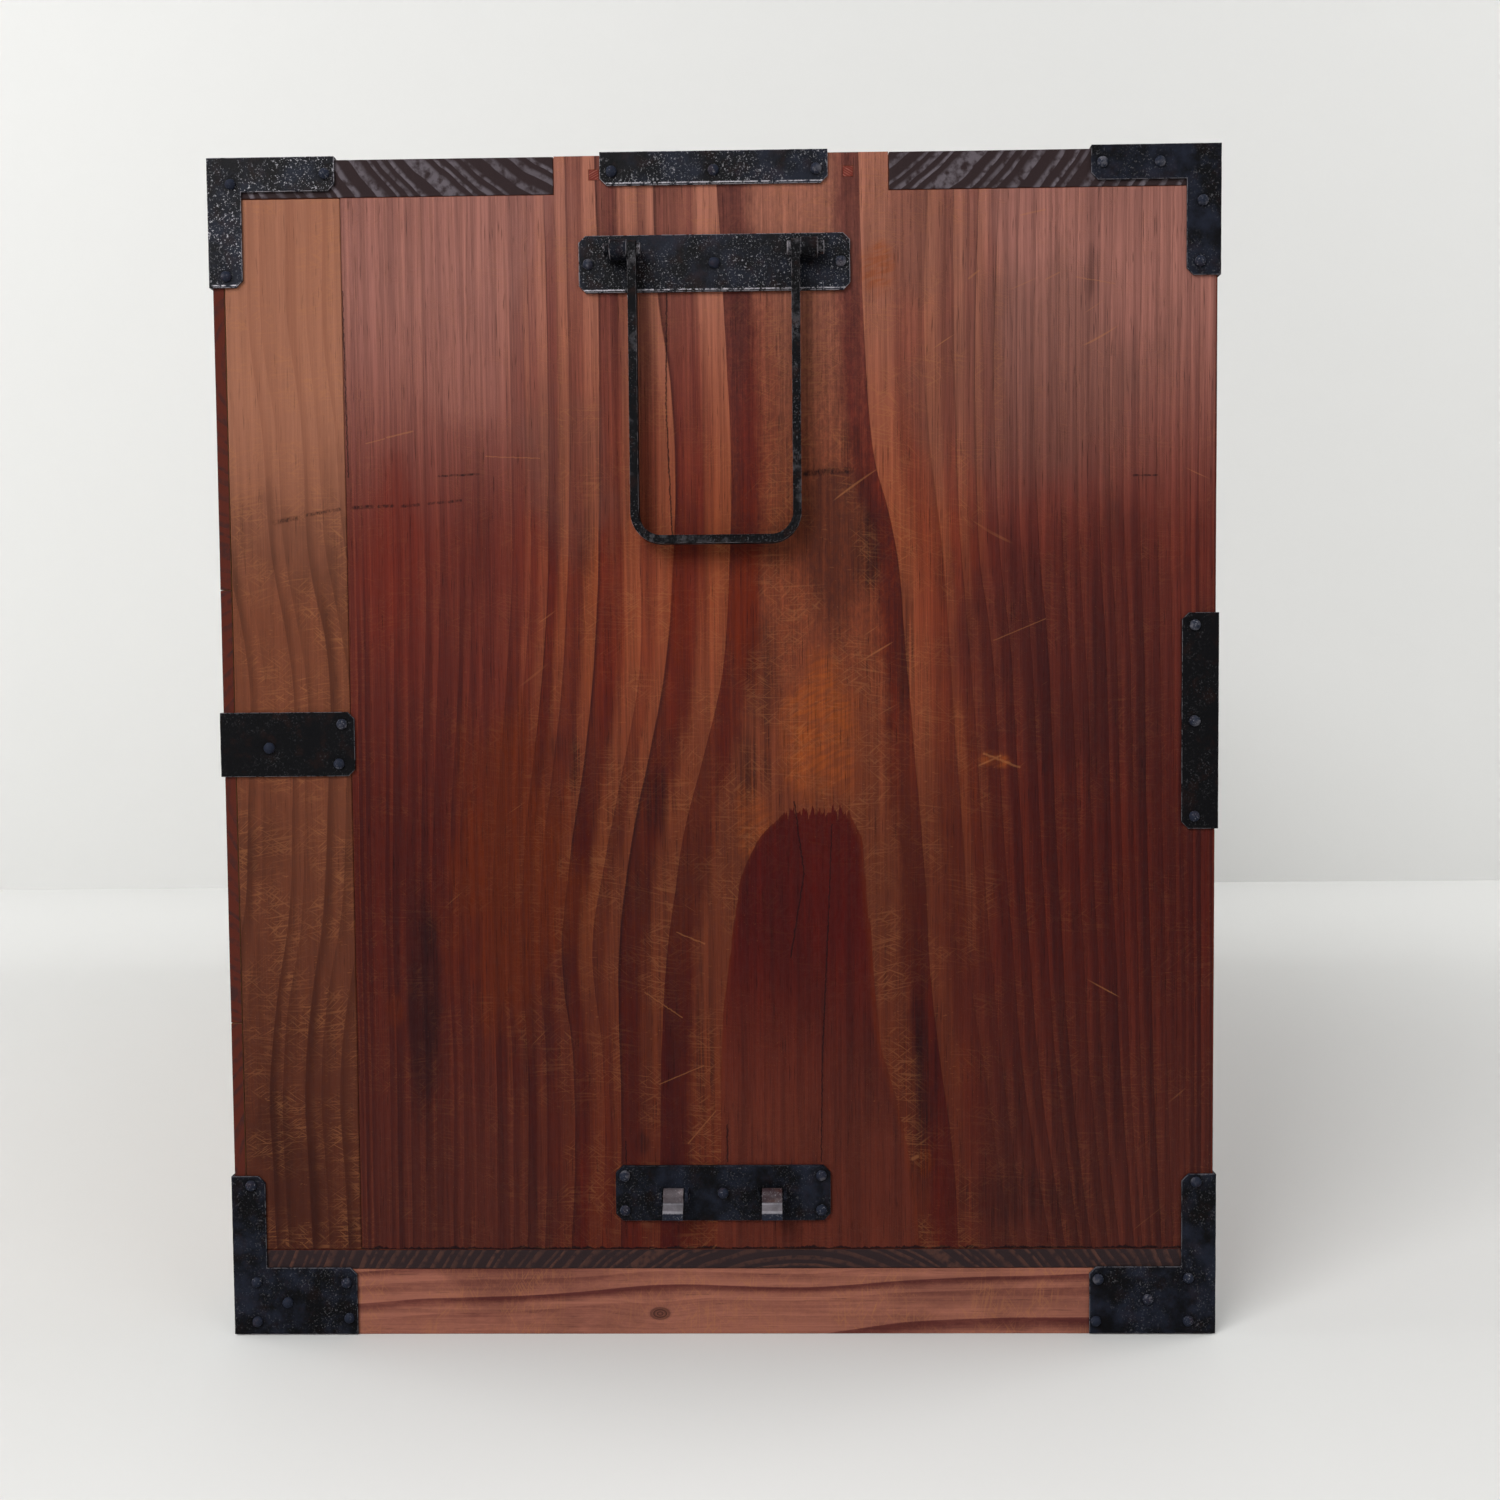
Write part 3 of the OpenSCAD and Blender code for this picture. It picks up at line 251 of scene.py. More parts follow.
class Sheet:
    """A node tree, drawn by calls."""

    def __init__(self, tree):
        self.tree = tree

    def add(self, kind, inputs=None, output=0, **settings):
        """A node of a kind, and the wire of one of its outputs."""
        node = self.tree.nodes.new("ShaderNode" + kind)
        for name, value in settings.items():
            setattr(node, name, value)
        for name, value in (inputs or {}).items():
            self.feed(node.inputs[name], value)
        return Wire(self, node.outputs[output])

    def feed(self, socket, value):
        if isinstance(value, Wire):
            self.tree.links.new(value.socket, socket)
        elif socket.type == "RGBA":
            socket.default_value = tuple(value)[:3] + (1.0,)
        else:
            socket.default_value = value

    def math(self, operation, a, b=0.0):
        return self.add("Math", {0: a, 1: b}, operation=operation)

    def most(self, a, b):
        return self.math("MAXIMUM", a, b)

    def least(self, a, b):
        return self.math("MINIMUM", a, b)

    def turn(self, a):
        """One less the value."""
        return self.most(1.0 - a, 0.0)

    def step(self, value, start, end, low=0.0, high=1.0, smooth=True):
        """Goes from low to high while the value goes from start to end."""
        kind = "SMOOTHSTEP" if smooth else "LINEAR"
        inputs = {"Value": value, "From Min": start, "From Max": end, "To Min": low, "To Max": high}
        return self.add("MapRange", inputs, interpolation_type=kind, clamp=not smooth)

    def mix(self, factor, low, high, blend="MIX"):
        return self.add(
            "Mix", {0: factor, 6: low, 7: high}, output=2, data_type="RGBA", blend_type=blend
        )

    def between(self, factor, low, high):
        """A number from low to high, by a factor from 0 to 1."""
        return self.add("Mix", {0: factor, 2: low, 3: high})

    def vector(self, x=0.0, y=0.0, z=0.0):
        return self.add("CombineXYZ", {"X": x, "Y": y, "Z": z})

    def split(self, vector):
        node = self.tree.nodes.new("ShaderNodeSeparateXYZ")
        self.feed(node.inputs[0], vector)
        return [Wire(self, socket) for socket in node.outputs]

    def noise(self, vector, scale, detail=2.0, roughness=0.5):
        inputs = {"Vector": vector, "Scale": scale, "Detail": detail, "Roughness": roughness}
        return self.add("TexNoise", inputs)

    def noise_along(self, value, scale, detail=2.0):
        inputs = {"W": value, "Scale": scale, "Detail": detail}
        return self.add("TexNoise", inputs, noise_dimensions="1D")

    def dice(self, value):
        """A chance number for each whole value."""
        return self.add("TexWhiteNoise", {"W": value}, noise_dimensions="1D")

    def curve(self, value, points):
        """A smooth line through points from 0 to 1."""
        wire = self.add("FloatCurve", {"Value": value})
        line = wire.socket.node.mapping.curves[0]
        while len(line.points) < len(points):
            line.points.new(0.5, 0.5)
        for knot, point in zip(line.points, points):
            knot.location = point
        wire.socket.node.mapping.update()
        return wire

    def ramp(self, value, stops):
        """Colours at places from 0 to 1."""
        wire = self.add("ValToRGB", {"Fac": value})
        band = wire.socket.node.color_ramp
        band.interpolation = "EASE"
        while len(band.elements) < len(stops):
            band.elements.new(0.5)
        for element, (place, code) in zip(band.elements, stops):
            element.position = place
            element.color = tuple(code)[:3] + (1.0,)
        return wire

    def places(self):
        """The three object coordinates, in metres."""
        return self.split(self.add("TexCoord", output="Object"))

    def facing(self):
        """The size of the surface normal along each object axis."""
        normal = self.split(self.add("TexCoord", output="Normal"))
        return [self.math("ABSOLUTE", part) for part in normal]

    def mark(self, name):
        """A mesh attribute, such as the eased corners."""
        return self.add("Attribute", output="Fac", attribute_name=name)

    def use(self, group, **inputs):
        """A node group, as a dictionary of its outputs."""
        node = self.tree.nodes.new("ShaderNodeGroup")
        node.node_tree = bpy.data.node_groups[group]
        for name, value in inputs.items():
            self.feed(node.inputs[name], value)
        return {socket.name: Wire(self, socket) for socket in node.outputs}


def start_group(name, inputs, outputs):
    """A new node group, its sheet and the wires of its inputs."""
    tree = bpy.data.node_groups.new(name, "ShaderNodeTree")
    for label, default in inputs.items():
        kind = "NodeSocketVector" if isinstance(default, tuple) else "NodeSocketFloat"
        tree.interface.new_socket(label, in_out="INPUT", socket_type=kind).default_value = default
    for label in outputs:
        tree.interface.new_socket(label, in_out="OUTPUT", socket_type="NodeSocketFloat")
    sheet = Sheet(tree)
    entry = tree.nodes.new("NodeGroupInput")
    return sheet, [Wire(sheet, entry.outputs[label]) for label in inputs]


def end_group(sheet, **outputs):
    """Feeds a group's outputs."""
    leave = sheet.tree.nodes.new("NodeGroupOutput")
    for label, wire in outputs.items():
        sheet.feed(leave.inputs[label], wire)


# Effects shared by several materials

def fibre_group():
    """The fine figure of a board: threads, pores, bands, clouds and mottle along the grain."""
    sheet, (across, along, depth, seed) = start_group(
        "Wood fibre", {"Across": 0.0, "Along": 0.0, "Depth": 0.0, "Seed": 0.0},
        ("Streak", "Pore", "Band", "Cloud", "Mottle"),
    )
    thread = sheet.vector(across, depth, along * 0.012 + seed)
    band = sheet.vector(across, depth, along * 0.05 + seed)
    cloud = sheet.vector(across, depth, along * 0.45 + seed)
    end_group(
        sheet,
        Streak=sheet.step(sheet.noise(thread, 420, 5, 0.85), 0.36, 0.64),
        Pore=sheet.step(sheet.noise(band, 1500, 2), 0.62, 0.74),
        Band=sheet.step(sheet.noise(band, 120, 3, 0.6), 0.34, 0.66),
        Cloud=sheet.step(sheet.noise(cloud, 24, 4, 0.6), 0.38, 0.66),
        Mottle=sheet.step(sheet.noise(cloud, 520, 4, 0.75), 0.3, 0.7),
    )


def rings_group():
    """Growth rings round a pith that runs along the board."""
    sheet, (across, along, depth, pith, heart, ring, taper, seed) = start_group(
        "Growth rings",
        {"Across": 0.0, "Along": 0.0, "Depth": 0.0, "Pith": 0.0, "Heart": 0.1, "Ring": 0.006,
         "Taper": 0.02, "Seed": 0.0},
        ("Late", "Tone"),
    )
    wander = sheet.noise_along(along + seed, 3.2) - 0.5
    side = across - pith + wander * 0.035
    out = depth - heart
    reach = sheet.math("SQRT", side * side + out * out) + along * taper
    ripple = sheet.noise(sheet.vector(across, depth, along * 0.12 + seed), 45, 2) - 0.5
    count = reach / ring + ripple * 0.9
    count = count + sheet.noise_along(count + seed, 0.45, 1) * 1.4
    part = sheet.math("FRACT", count)
    end_group(
        sheet,
        Late=sheet.step(part, 0.18, 0.9) * sheet.step(part, 0.94, 1.0, 1.0, 0.0),
        Tone=sheet.dice(sheet.math("FLOOR", count) + seed),
    )


def scratches_group():
    """Wear of a board's face: scratches, hatching, brush marks, chips and specks."""
    sheet, (across, along, seed) = start_group(
        "Scratches", {"Across": 0.0, "Along": 0.0, "Seed": 0.0},
        ("Scratch", "Hatch", "Brush", "Chip", "Speck"),
    )
    flat = sheet.vector(across, along, seed)
    bend = (sheet.noise(flat, 9, 1) - 0.5) * 0.03

    def lines(angle, scale, narrow, start, end):
        """Fine lines at an angle to the grain, as wide as the scale and narrow times as long."""
        over = across * math.cos(angle) + along * math.sin(angle) + bend
        down = along * math.cos(angle) - across * math.sin(angle)
        turned = sheet.vector(over, down * narrow, seed + angle)
        return sheet.step(sheet.noise(turned, scale, 1), start, end)

    def clumps(scale, start, end):
        return sheet.step(sheet.noise(flat, scale, 2), start, end)

    long = sheet.most(
        lines(1.1, 420, 0.04, 0.74, 0.78) * clumps(17, 0.54, 0.62),
        lines(2.2, 480, 0.04, 0.74, 0.78) * clumps(13, 0.54, 0.62),
    )
    hatch = sheet.most(lines(0.9, 1500, 0.07, 0.56, 0.7), lines(2.2, 1350, 0.08, 0.56, 0.7))
    hatch = sheet.most(hatch, lines(1.5, 1300, 0.05, 0.54, 0.68)) * clumps(40, 0.36, 0.62)
    brush = lines(1.95, 560, 0.22, 0.36, 0.64)
    chip = sheet.noise(sheet.vector(across * 0.3, along, seed), 1000, 2, 0.6)
    end_group(
        sheet, Scratch=long, Hatch=hatch, Brush=brush,
        Chip=sheet.step(chip, 0.6, 0.68) * clumps(110, 0.5, 0.66),
        Speck=sheet.step(sheet.noise(flat, 1100, 2, 0.6), 0.66, 0.74) * clumps(21, 0.44, 0.62),
    )


def stroke_group():
    """A mark along a straight run. Share is the run over its length squared."""
    nowhere = (0.0, 0.0, 0.0)
    sheet, (point, start, run, part, core, width) = start_group(
        "Stroke", {"Point": nowhere, "Start": nowhere, "Run": nowhere, "Share": nowhere, "Core": 0.0003,
                   "Width": 0.001},
        ("Mark",),
    )
    off = sheet.add("VectorMath", {0: point, 1: start}, output="Vector", operation="SUBTRACT")
    along = sheet.add("VectorMath", {0: off, 1: part}, output="Value", operation="DOT_PRODUCT")
    along = sheet.least(sheet.most(along, 0.0), 1.0)
    foot = sheet.add("VectorMath", {0: run, "Scale": along}, output="Vector", operation="SCALE")
    gap = sheet.add("VectorMath", {0: off, 1: foot}, output="Value", operation="DISTANCE")
    end_group(sheet, Mark=sheet.step(gap, core, width, 1.0, 0.0))


def iron_group():
    """The skin of old black iron."""
    sheet, (point, seed) = start_group(
        "Iron skin", {"Point": (0.0, 0.0, 0.0), "Seed": 0.0},
        ("Cloud", "Fleck", "Pit", "Rust", "Chip", "Wear"),
    )
    # Pale specks in the pits: partly pale dust, partly painted glints
    spots = sheet.most(
        sheet.step(sheet.noise(point, 1300, 2, 0.6), 0.61, 0.67),
        sheet.step(sheet.noise(point, 620, 3, 0.7), 0.63, 0.68),
    )
    end_group(
        sheet,
        Cloud=sheet.step(sheet.noise(point, 70, 5, 0.68), 0.38, 0.68),
        Fleck=spots * sheet.step(sheet.noise(point, 60, 3), 0.36, 0.6),
        Pit=sheet.noise(point, 900, 4, 0.7),
        Rust=sheet.step(sheet.noise(point, 130 + seed, 4, 0.65), 0.5, 0.66),
        Chip=sheet.step(sheet.noise(point, 300 + seed, 4, 0.8), 0.42, 0.52),
        Wear=sheet.step(sheet.noise(point, 48 + seed, 4, 0.75), 0.5, 0.62),
    )


def start_material(name):
    """A material with only its shader and output, and its sheet."""
    material = bpy.data.materials.new(name)
    material.use_nodes = True
    material.node_tree.nodes.clear()
    sheet = Sheet(material.node_tree)
    shader = material.node_tree.nodes.new("ShaderNodeBsdfPrincipled")
    leave = material.node_tree.nodes.new("ShaderNodeOutputMaterial")
    material.node_tree.links.new(shader.outputs[0], leave.inputs["Surface"])
    return material, sheet, shader


def finish_material(sheet, shader, base, roughness, height, lift, metallic=None, **constants):
    """Feeds a material's shader; lift is the height's full depth in metres."""
    sheet.feed(shader.inputs["Base Color"], base)
    sheet.feed(shader.inputs["Roughness"], roughness)
    if metallic is not None:
        sheet.feed(shader.inputs["Metallic"], metallic)
    bump = sheet.add("Bump", {"Strength": 1.0, "Distance": lift, "Height": height}, output="Normal")
    sheet.feed(shader.inputs["Normal"], bump)
    for name, value in constants.items():
        shader.inputs[name.replace("_", " ")].default_value = value


# Woods

# The wide side boards' ring lines, each as (height, distance from the back) in millimetres
LINES_LEFT = (
    ((38, 135), (118, 136.5), (165, 134.4), (205, 136), (253, 142), (301, 147.5), (345, 150), (505, 150)),
    ((38, 147), (118, 148.8), (165, 144.4), (205, 148), (255, 155.6), (301, 160.4), (345, 162.8),
     (505, 162.5)),
    ((38, 160), (120, 161.9), (172, 158), (212, 164.4), (257, 173.1), (289, 178.8), (345, 180.3),
     (505, 180)),
    ((38, 168), (108, 169), (172, 169.5), (214, 174.4), (251, 181.9), (289, 189.8), (338, 194),
     (377, 195), (409, 193), (446, 188), (505, 187)),
    ((38, 185.5), (96, 186.3), (152, 188.8), (190, 193), (220, 197.5), (257, 207.5), (285, 214.4),
     (320, 217.9), (365, 219.4), (427, 217.5), (505, 214)),
)
LINES_RIGHT = (
    ((38, 315), (84, 312), (118, 307.5), (157, 303.5), (208, 300.8), (250, 297), (301, 292.5),
     (338, 289.4), (357, 285.6), (375, 280.6), (390, 278.5), (446, 275.6), (505, 274)),
    ((38, 339), (76, 332.5), (120, 326.3), (152, 321.3), (197, 319), (245, 315.6), (301, 311.9),
     (338, 309), (365, 305.6), (390, 303.1), (505, 303.2)),
    ((38, 345), (104, 336), (145, 331.3), (182, 328), (226, 325.6), (275, 322.5), (322, 318.5),
     (352, 316), (402, 314.4), (505, 313.8)),
    ((38, 355), (126, 342), (163, 339), (205, 335.6), (248, 333), (305, 329), (338, 325), (505, 325)),
)
ARCH_LEFT = (
    (38, 210), (75, 212), (134, 213.5), (165, 217), (190, 220.3), (200, 222), (210, 226.3),
    (216, 229.5), (221, 234), (225, 238.5), (229, 241), (505, 244),
)
ARCH_RIGHT = (
    (38, 298), (76, 293.8), (103, 288), (125, 281.9), (140, 280), (172, 278), (200, 275.6),
    (215, 274.4), (220, 272.5), (225, 270), (229, 268), (505, 262),
)
ARCH_TOP = 227.5


def figure_group():
    """Straight rings either side of a heart of flat grain with an arch in it."""
    sheet, (across, along, depth, seed) = start_group(
        "Ring figure", {"Across": 0.0, "Along": 0.0, "Depth": 0.0, "Seed": 0.0},
        ("Late", "Tone", "Arch", "Rim", "Edge", "Middle", "Heart", "Shade"),
    )
    wobble = sheet.noise(sheet.vector(across, along * 0.18, seed), 55, 3, 0.6) - 0.5
    sway = sheet.noise(sheet.vector(across, along * 0.25, seed + 2.0), 14, 1) - 0.5
    place = (across + depth * 0.8 + wobble * 2.2 * MM + sway * 2.5 * MM) / DEEP
    high = along / HIGH

    def line(points):
        return sheet.curve(high, [(v * MM / HIGH, u * MM / DEEP) for v, u in points])

    lefts = [line(points) for points in LINES_LEFT]
    rights = [line(points) for points in LINES_RIGHT]
    start = sheet.step(place, SEAM / DEEP, lefts[0], smooth=False)
    end = sheet.step(place, rights[-1], 1.0, smooth=False)
    ragged = sheet.noise_along(start * 7.0 + seed, 1.0, 1) - 0.5
    left_count = (start ** 0.65) * 16.0 + ragged * start * (1.0 - start) * 9.0
    for inner, outer in zip(lefts, lefts[1:]):
        left_count = left_count + sheet.step(place, inner, outer, smooth=False)
    ragged = sheet.noise_along(end * 7.0 + seed, 1.0, 1) - 0.5
    right_count = (1.0 - (1.0 - end) ** 0.65) * 17.0 + ragged * end * (1.0 - end) * 8.0
    for inner, outer in zip(rights, rights[1:]):
        right_count = right_count + sheet.step(place, inner, outer, smooth=False)
    in_left = sheet.step(place, lefts[-1], lefts[-1] - 0.0005)
    in_right = sheet.step(place, rights[0] - 0.0005, rights[0])
    left_part = sheet.math("FRACT", left_count)
    right_part = sheet.math("FRACT", right_count)
    width = sheet.noise(sheet.vector(place * 20.0, along, seed + 4.0), 6, 2) * 0.5
    left_late = sheet.step(left_part, 0.15 + width, 0.5 + width, 1.0, 0.0)
    left_late = left_late * sheet.step(left_part, 0.0, 0.03)
    right_late = sheet.step(right_part, 0.5 - width, 0.85 - width)
    right_late = right_late * sheet.step(right_part, 0.97, 1.0, 1.0, 0.0)
    ring = sheet.math("FLOOR", left_count) + sheet.math("FLOOR", right_count) * 3.7
    drift = sheet.noise(sheet.vector(ring * 0.37, along, seed), 7, 1)
    # The middle ring: dark just inside both of its lines
    fray = sheet.noise(sheet.vector(across, along * 0.5, seed + 6.0), 90, 4, 0.7) * 0.03
    middle_left = sheet.step(place + fray, lefts[-1] + 0.035, lefts[-1] + 0.055, 1.0, 0.0)
    middle_right = sheet.step(place + fray, rights[0] - 0.02, rights[0] - 0.002)
    heart = sheet.turn(in_left + in_right)
    middle = sheet.most(middle_left, middle_right) * heart
    jag = sheet.noise(sheet.vector(across, along * 0.04, seed), 560, 2, 0.8) - 0.5
    below = sheet.step(along + jag * 17 * MM, (ARCH_TOP + 0.25) * MM, (ARCH_TOP - 0.25) * MM)
    arch_left = line(ARCH_LEFT)
    arch_right = line(ARCH_RIGHT)
    teeth = place + jag * 0.004
    arch = sheet.step(teeth, arch_left - 0.0006, arch_left + 0.0006)
    arch = arch * sheet.step(teeth, arch_right - 0.0006, arch_right + 0.0006, 1.0, 0.0) * below
    rim = sheet.most(
        sheet.step(place, arch_left, arch_left + 0.006, 0.5, 0.0),
        sheet.step(place, arch_right - 0.008, arch_right, 0.0, 1.0),
    ) * arch
    edge = sheet.step(left_part, 0.0, 0.12, 1.0, 0.0) * in_left
    edge = edge + sheet.step(right_part, 0.88, 1.0) * in_right
    late = left_late * in_left + right_late * in_right
    end_group(
        sheet, Late=late, Tone=sheet.dice(ring), Arch=arch, Rim=rim, Edge=edge,
        Middle=middle, Heart=heart, Shade=sheet.step(drift, 0.3, 0.7),
    )


# Marks on the left end, each as start and end in millimetres from the back and the floor, and a width
CRACKS = (
    ((245, 232), (249, 201), 0.45), ((249, 201), (243, 165), 0.5), ((261, 222), (259.4, 184), 0.4),
    ((259.4, 184), (256.3, 121), 0.5), ((256.3, 121), (255.6, 76), 0.4), ((215, 92), (215, 76), 0.5),
    ((171, 85), (171, 76), 0.45), ((55.2, 450), (56.2, 372), 0.4), ((193, 470), (192, 400), 0.5),
    ((192, 400), (194, 345), 0.5),
)
SPILLS = (
    ((250, 371.5), (270, 372.5), 2.0), ((95, 372), (112, 372.6), 0.7), ((24, 353), (34, 355), 1.4),
    ((38, 356), (52, 358.4), 1.0), ((58, 359), (66, 359.4), 1.2), ((69, 359.4), (75, 359.6), 1.0),
    ((79, 359.4), (86, 360), 1.0), ((90, 360.4), (104, 361.5), 0.9), ((389, 369), (399, 369), 0.6),
)
SCUFFS = (
    ((73, 388.5), (84, 391), 0.5), ((115, 380), (138, 379), 0.35), ((64, 386), (72, 388), 0.35),
    ((342, 478), (352, 480), 0.5), ((320, 452), (324, 455), 0.6), ((352, 451), (358, 454), 0.4),
    ((295, 77), (297, 78), 1.2), ((180, 150), (196, 139), 0.4), ((194, 176), (206, 171), 0.4),
    ((186, 110), (205, 118), 0.35), ((326, 252), (341, 246), 0.7), ((324, 247), (333, 251), 0.6),
    ((210, 98), (198, 84), 0.4), ((365, 452), (381, 449), 0.35), ((330, 300), (352, 309), 0.3),
)


# Where each colour ramp of the side boards has its four colours, as shares of the height; the paler upper
# colours are partly the stain's fading and partly painted sheen of the window light
LEVELS = ("low", "mid", "high", "top")
RAMPS = {"light": (0.12, 0.4, 0.65, 0.97), "dark": (0.1, 0.38, 0.66, 0.97), "outer": (0.1, 0.4, 0.66, 0.92)}

# Broad changes of colour, by colour: middle and reach in millimetres, and strength. Most are drifts of the
# stain; the pale pink patch near the top is partly painted window sheen, and the plum patch at (266, 338) is
# a painted shadow beside the right bail
DRIFTS = {
    "dark_high": (((232, 400), (9, 70), 0.3), ((75, 330), (16, 60), 0.4)),
    "umber": (((345, 410), (70, 60), 0.38), ((300, 470), (40, 40), 0.3), ((150, 375), (24, 50), 0.35)),
    # Partly a pale blush of the stain, partly painted sheen of the window light
    "bloom_and_sheen": (((105, 415), (22, 26), 0.3),),
    "orange": (((122, 205), (34, 84), 0.6), ((72, 143), (5, 11), 0.35), ((300, 76), (4, 8), 0.7)),
    "flame": (((225, 318), (9, 44), 0.8), ((197, 318), (7, 40), 0.5)),
    # The second plum patch, at (266, 338), is a painted shadow beside the right bail
    "plum": (((84, 140), (9, 62), 0.6), ((266, 338), (22, 44), 0.5), ((232, 290), (10, 34), 0.35),
             ((370, 300), (70, 70), 0.3)),
}
# Where the stain has rubbed through to gold, on either end
GOLD = {
    -1: (((257, 262), (19, 36), 1.0), ((283, 458), (12, 14), 0.7), ((333, 249), (10, 4), 0.8),
         ((228, 222), (9, 22), 0.5)),
    1: (((225, 380), (30, 70), 0.4),),
}
# Blue-black smudges on either end
SMUDGES = {
    -1: (
        ((87, 173), (3, 9), 0.4), ((87, 133), (4, 18), 0.35), ((186, 232), (8, 18), 0.5),
        ((146, 256), (6, 9), 0.6), ((270, 385), (6, 12), 0.6), ((276, 335), (7, 22), 0.6),
        ((298, 110), (9, 50), 0.6), ((240, 340), (8, 14), 0.4), ((372, 455), (5, 16), 0.4),
        ((178, 84), (4, 6), 0.6), ((158, 340), (5, 18), 0.35), ((228, 250), (8, 22), 0.6),
        ((150, 250), (5, 18), 0.6), ((292, 300), (6, 40), 0.5), ((340, 60), (30, 14), 0.35),
        ((310, 330), (5, 26), 0.4), ((205, 130), (4, 40), 0.5),
    ),
    1: (((160, 330), (9, 34), 0.5), ((310, 120), (7, 40), 0.5)),
}


def draw_marks(sheet, across, along, marks):
    """The strongest of a set of straight marks, with ragged edges."""
    ragged = sheet.noise(sheet.vector(across, along, 0.0), 480, 2) - 0.5
    point = sheet.vector(across + ragged * 1.2 * MM, along + ragged * 0.8 * MM, 0.0)
    total = None
    for start, end, width in marks:
        start = Vector((*start, 0.0)) * MM
        run = Vector((*end, 0.0)) * MM - start
        one = sheet.use(
            "Stroke", Point=point, Start=start, Run=run, Share=run / run.length_squared,
            Core=width * 0.25 * MM, Width=width * MM,
        )["Mark"]
        total = one if total is None else sheet.most(total, one)
    return total


def draw_patches(sheet, across, along, ragged, patches):
    """The strongest of a set of soft-edged ovals, their edges broken by noise."""
    across = across + ragged * 2 * MM
    along = along + ragged * 5 * MM
    total = None
    for (u, v), (wide, high), strength in patches:
        du = (across - u * MM) / (wide * MM)
        dv = (along - v * MM) / (high * MM)
        reach = sheet.math("SQRT", du * du + dv * dv) + ragged
        one = sheet.step(reach, 0.45, 1.05, strength, 0.0)
        total = one if total is None else sheet.most(total, one)
    return total


def stained_rings(sheet, fig, fibre, across, high):
    """A side board's rings in their stains, paler towards the top partly by painted sheen: the colour, then
    the grain, late growth and outer rings.
    """
    wood = bpy.context.scene.chest_wood
    # Colours by height, paler towards the top: partly the stain's fading, partly painted sheen of the window
    # light
    light, dark, outer = (
        sheet.ramp(high, [(place, getattr(wood, f"{word}_{level}")) for place, level in zip(places, LEVELS)])
        for word, places in RAMPS.items()
    )
    # Ring by ring: golden summer growth, red winter growth with a near-black edge
    strength = sheet.between(fig["Tone"], 0.6, 1.0) * sheet.between(fig["Shade"], 0.8, 1.0)
    late = sheet.most(fig["Late"] * strength, fig["Middle"] * sheet.between(fig["Shade"], 0.75, 1.0))
    late = late * sheet.turn(fig["Arch"])
    grain = late + (fibre["Band"] - 0.5) * 0.2 + (fibre["Mottle"] - 0.5) * 0.14
    grain = sheet.step(grain, 0.0, 1.0, smooth=False)
    light = sheet.mix(sheet.step(fig["Shade"], 0.4, 1.0) * 0.25, light, wood.golden)
    dark = sheet.mix(fibre["Cloud"] * 0.4, dark, wood.plum)
    base = sheet.mix(grain, light, dark)
    away = sheet.math("ABSOLUTE", across - sheet.between(high, 222, 235) * MM)
    away = sheet.step(away + (fibre["Cloud"] - 0.5) * 20 * MM, 66 * MM, 110 * MM)
    contrast = sheet.step(high, 0.55, 0.78, 0.8, 0.18) * sheet.between(fig["Tone"], 0.4, 1.0)
    outside = sheet.mix(grain * contrast, outer, sheet.mix(0.75, outer, wood.plum))
    base = sheet.mix(away * 0.9, base, outside)
    hairline = fig["Edge"] * late * sheet.between(fig["Tone"], 0.3, 0.9)
    base = sheet.mix(hairline * sheet.between(away, 1.0, 0.15), base, wood.ink)
    tongue = sheet.mix(sheet.step(high, 0.36, 0.16), wood.arch, wood.arch_low)
    tongue = sheet.mix(fibre["Cloud"] * 0.2 + fibre["Band"] * 0.25, tongue, wood.plum)
    tongue = sheet.mix(fig["Rim"] * 0.4, tongue, wood.arch_rim)
    base = sheet.mix(fig["Arch"], base, tongue)
    upper = sheet.step(high, 0.46, 0.6) * sheet.step(high, 1.0, 0.8, 0.5, 1.0)
    base = sheet.mix(fig["Heart"] * upper * sheet.between(fibre["Mottle"], 0.1, 0.45), base, wood.plum)
    return base, grain, late, away


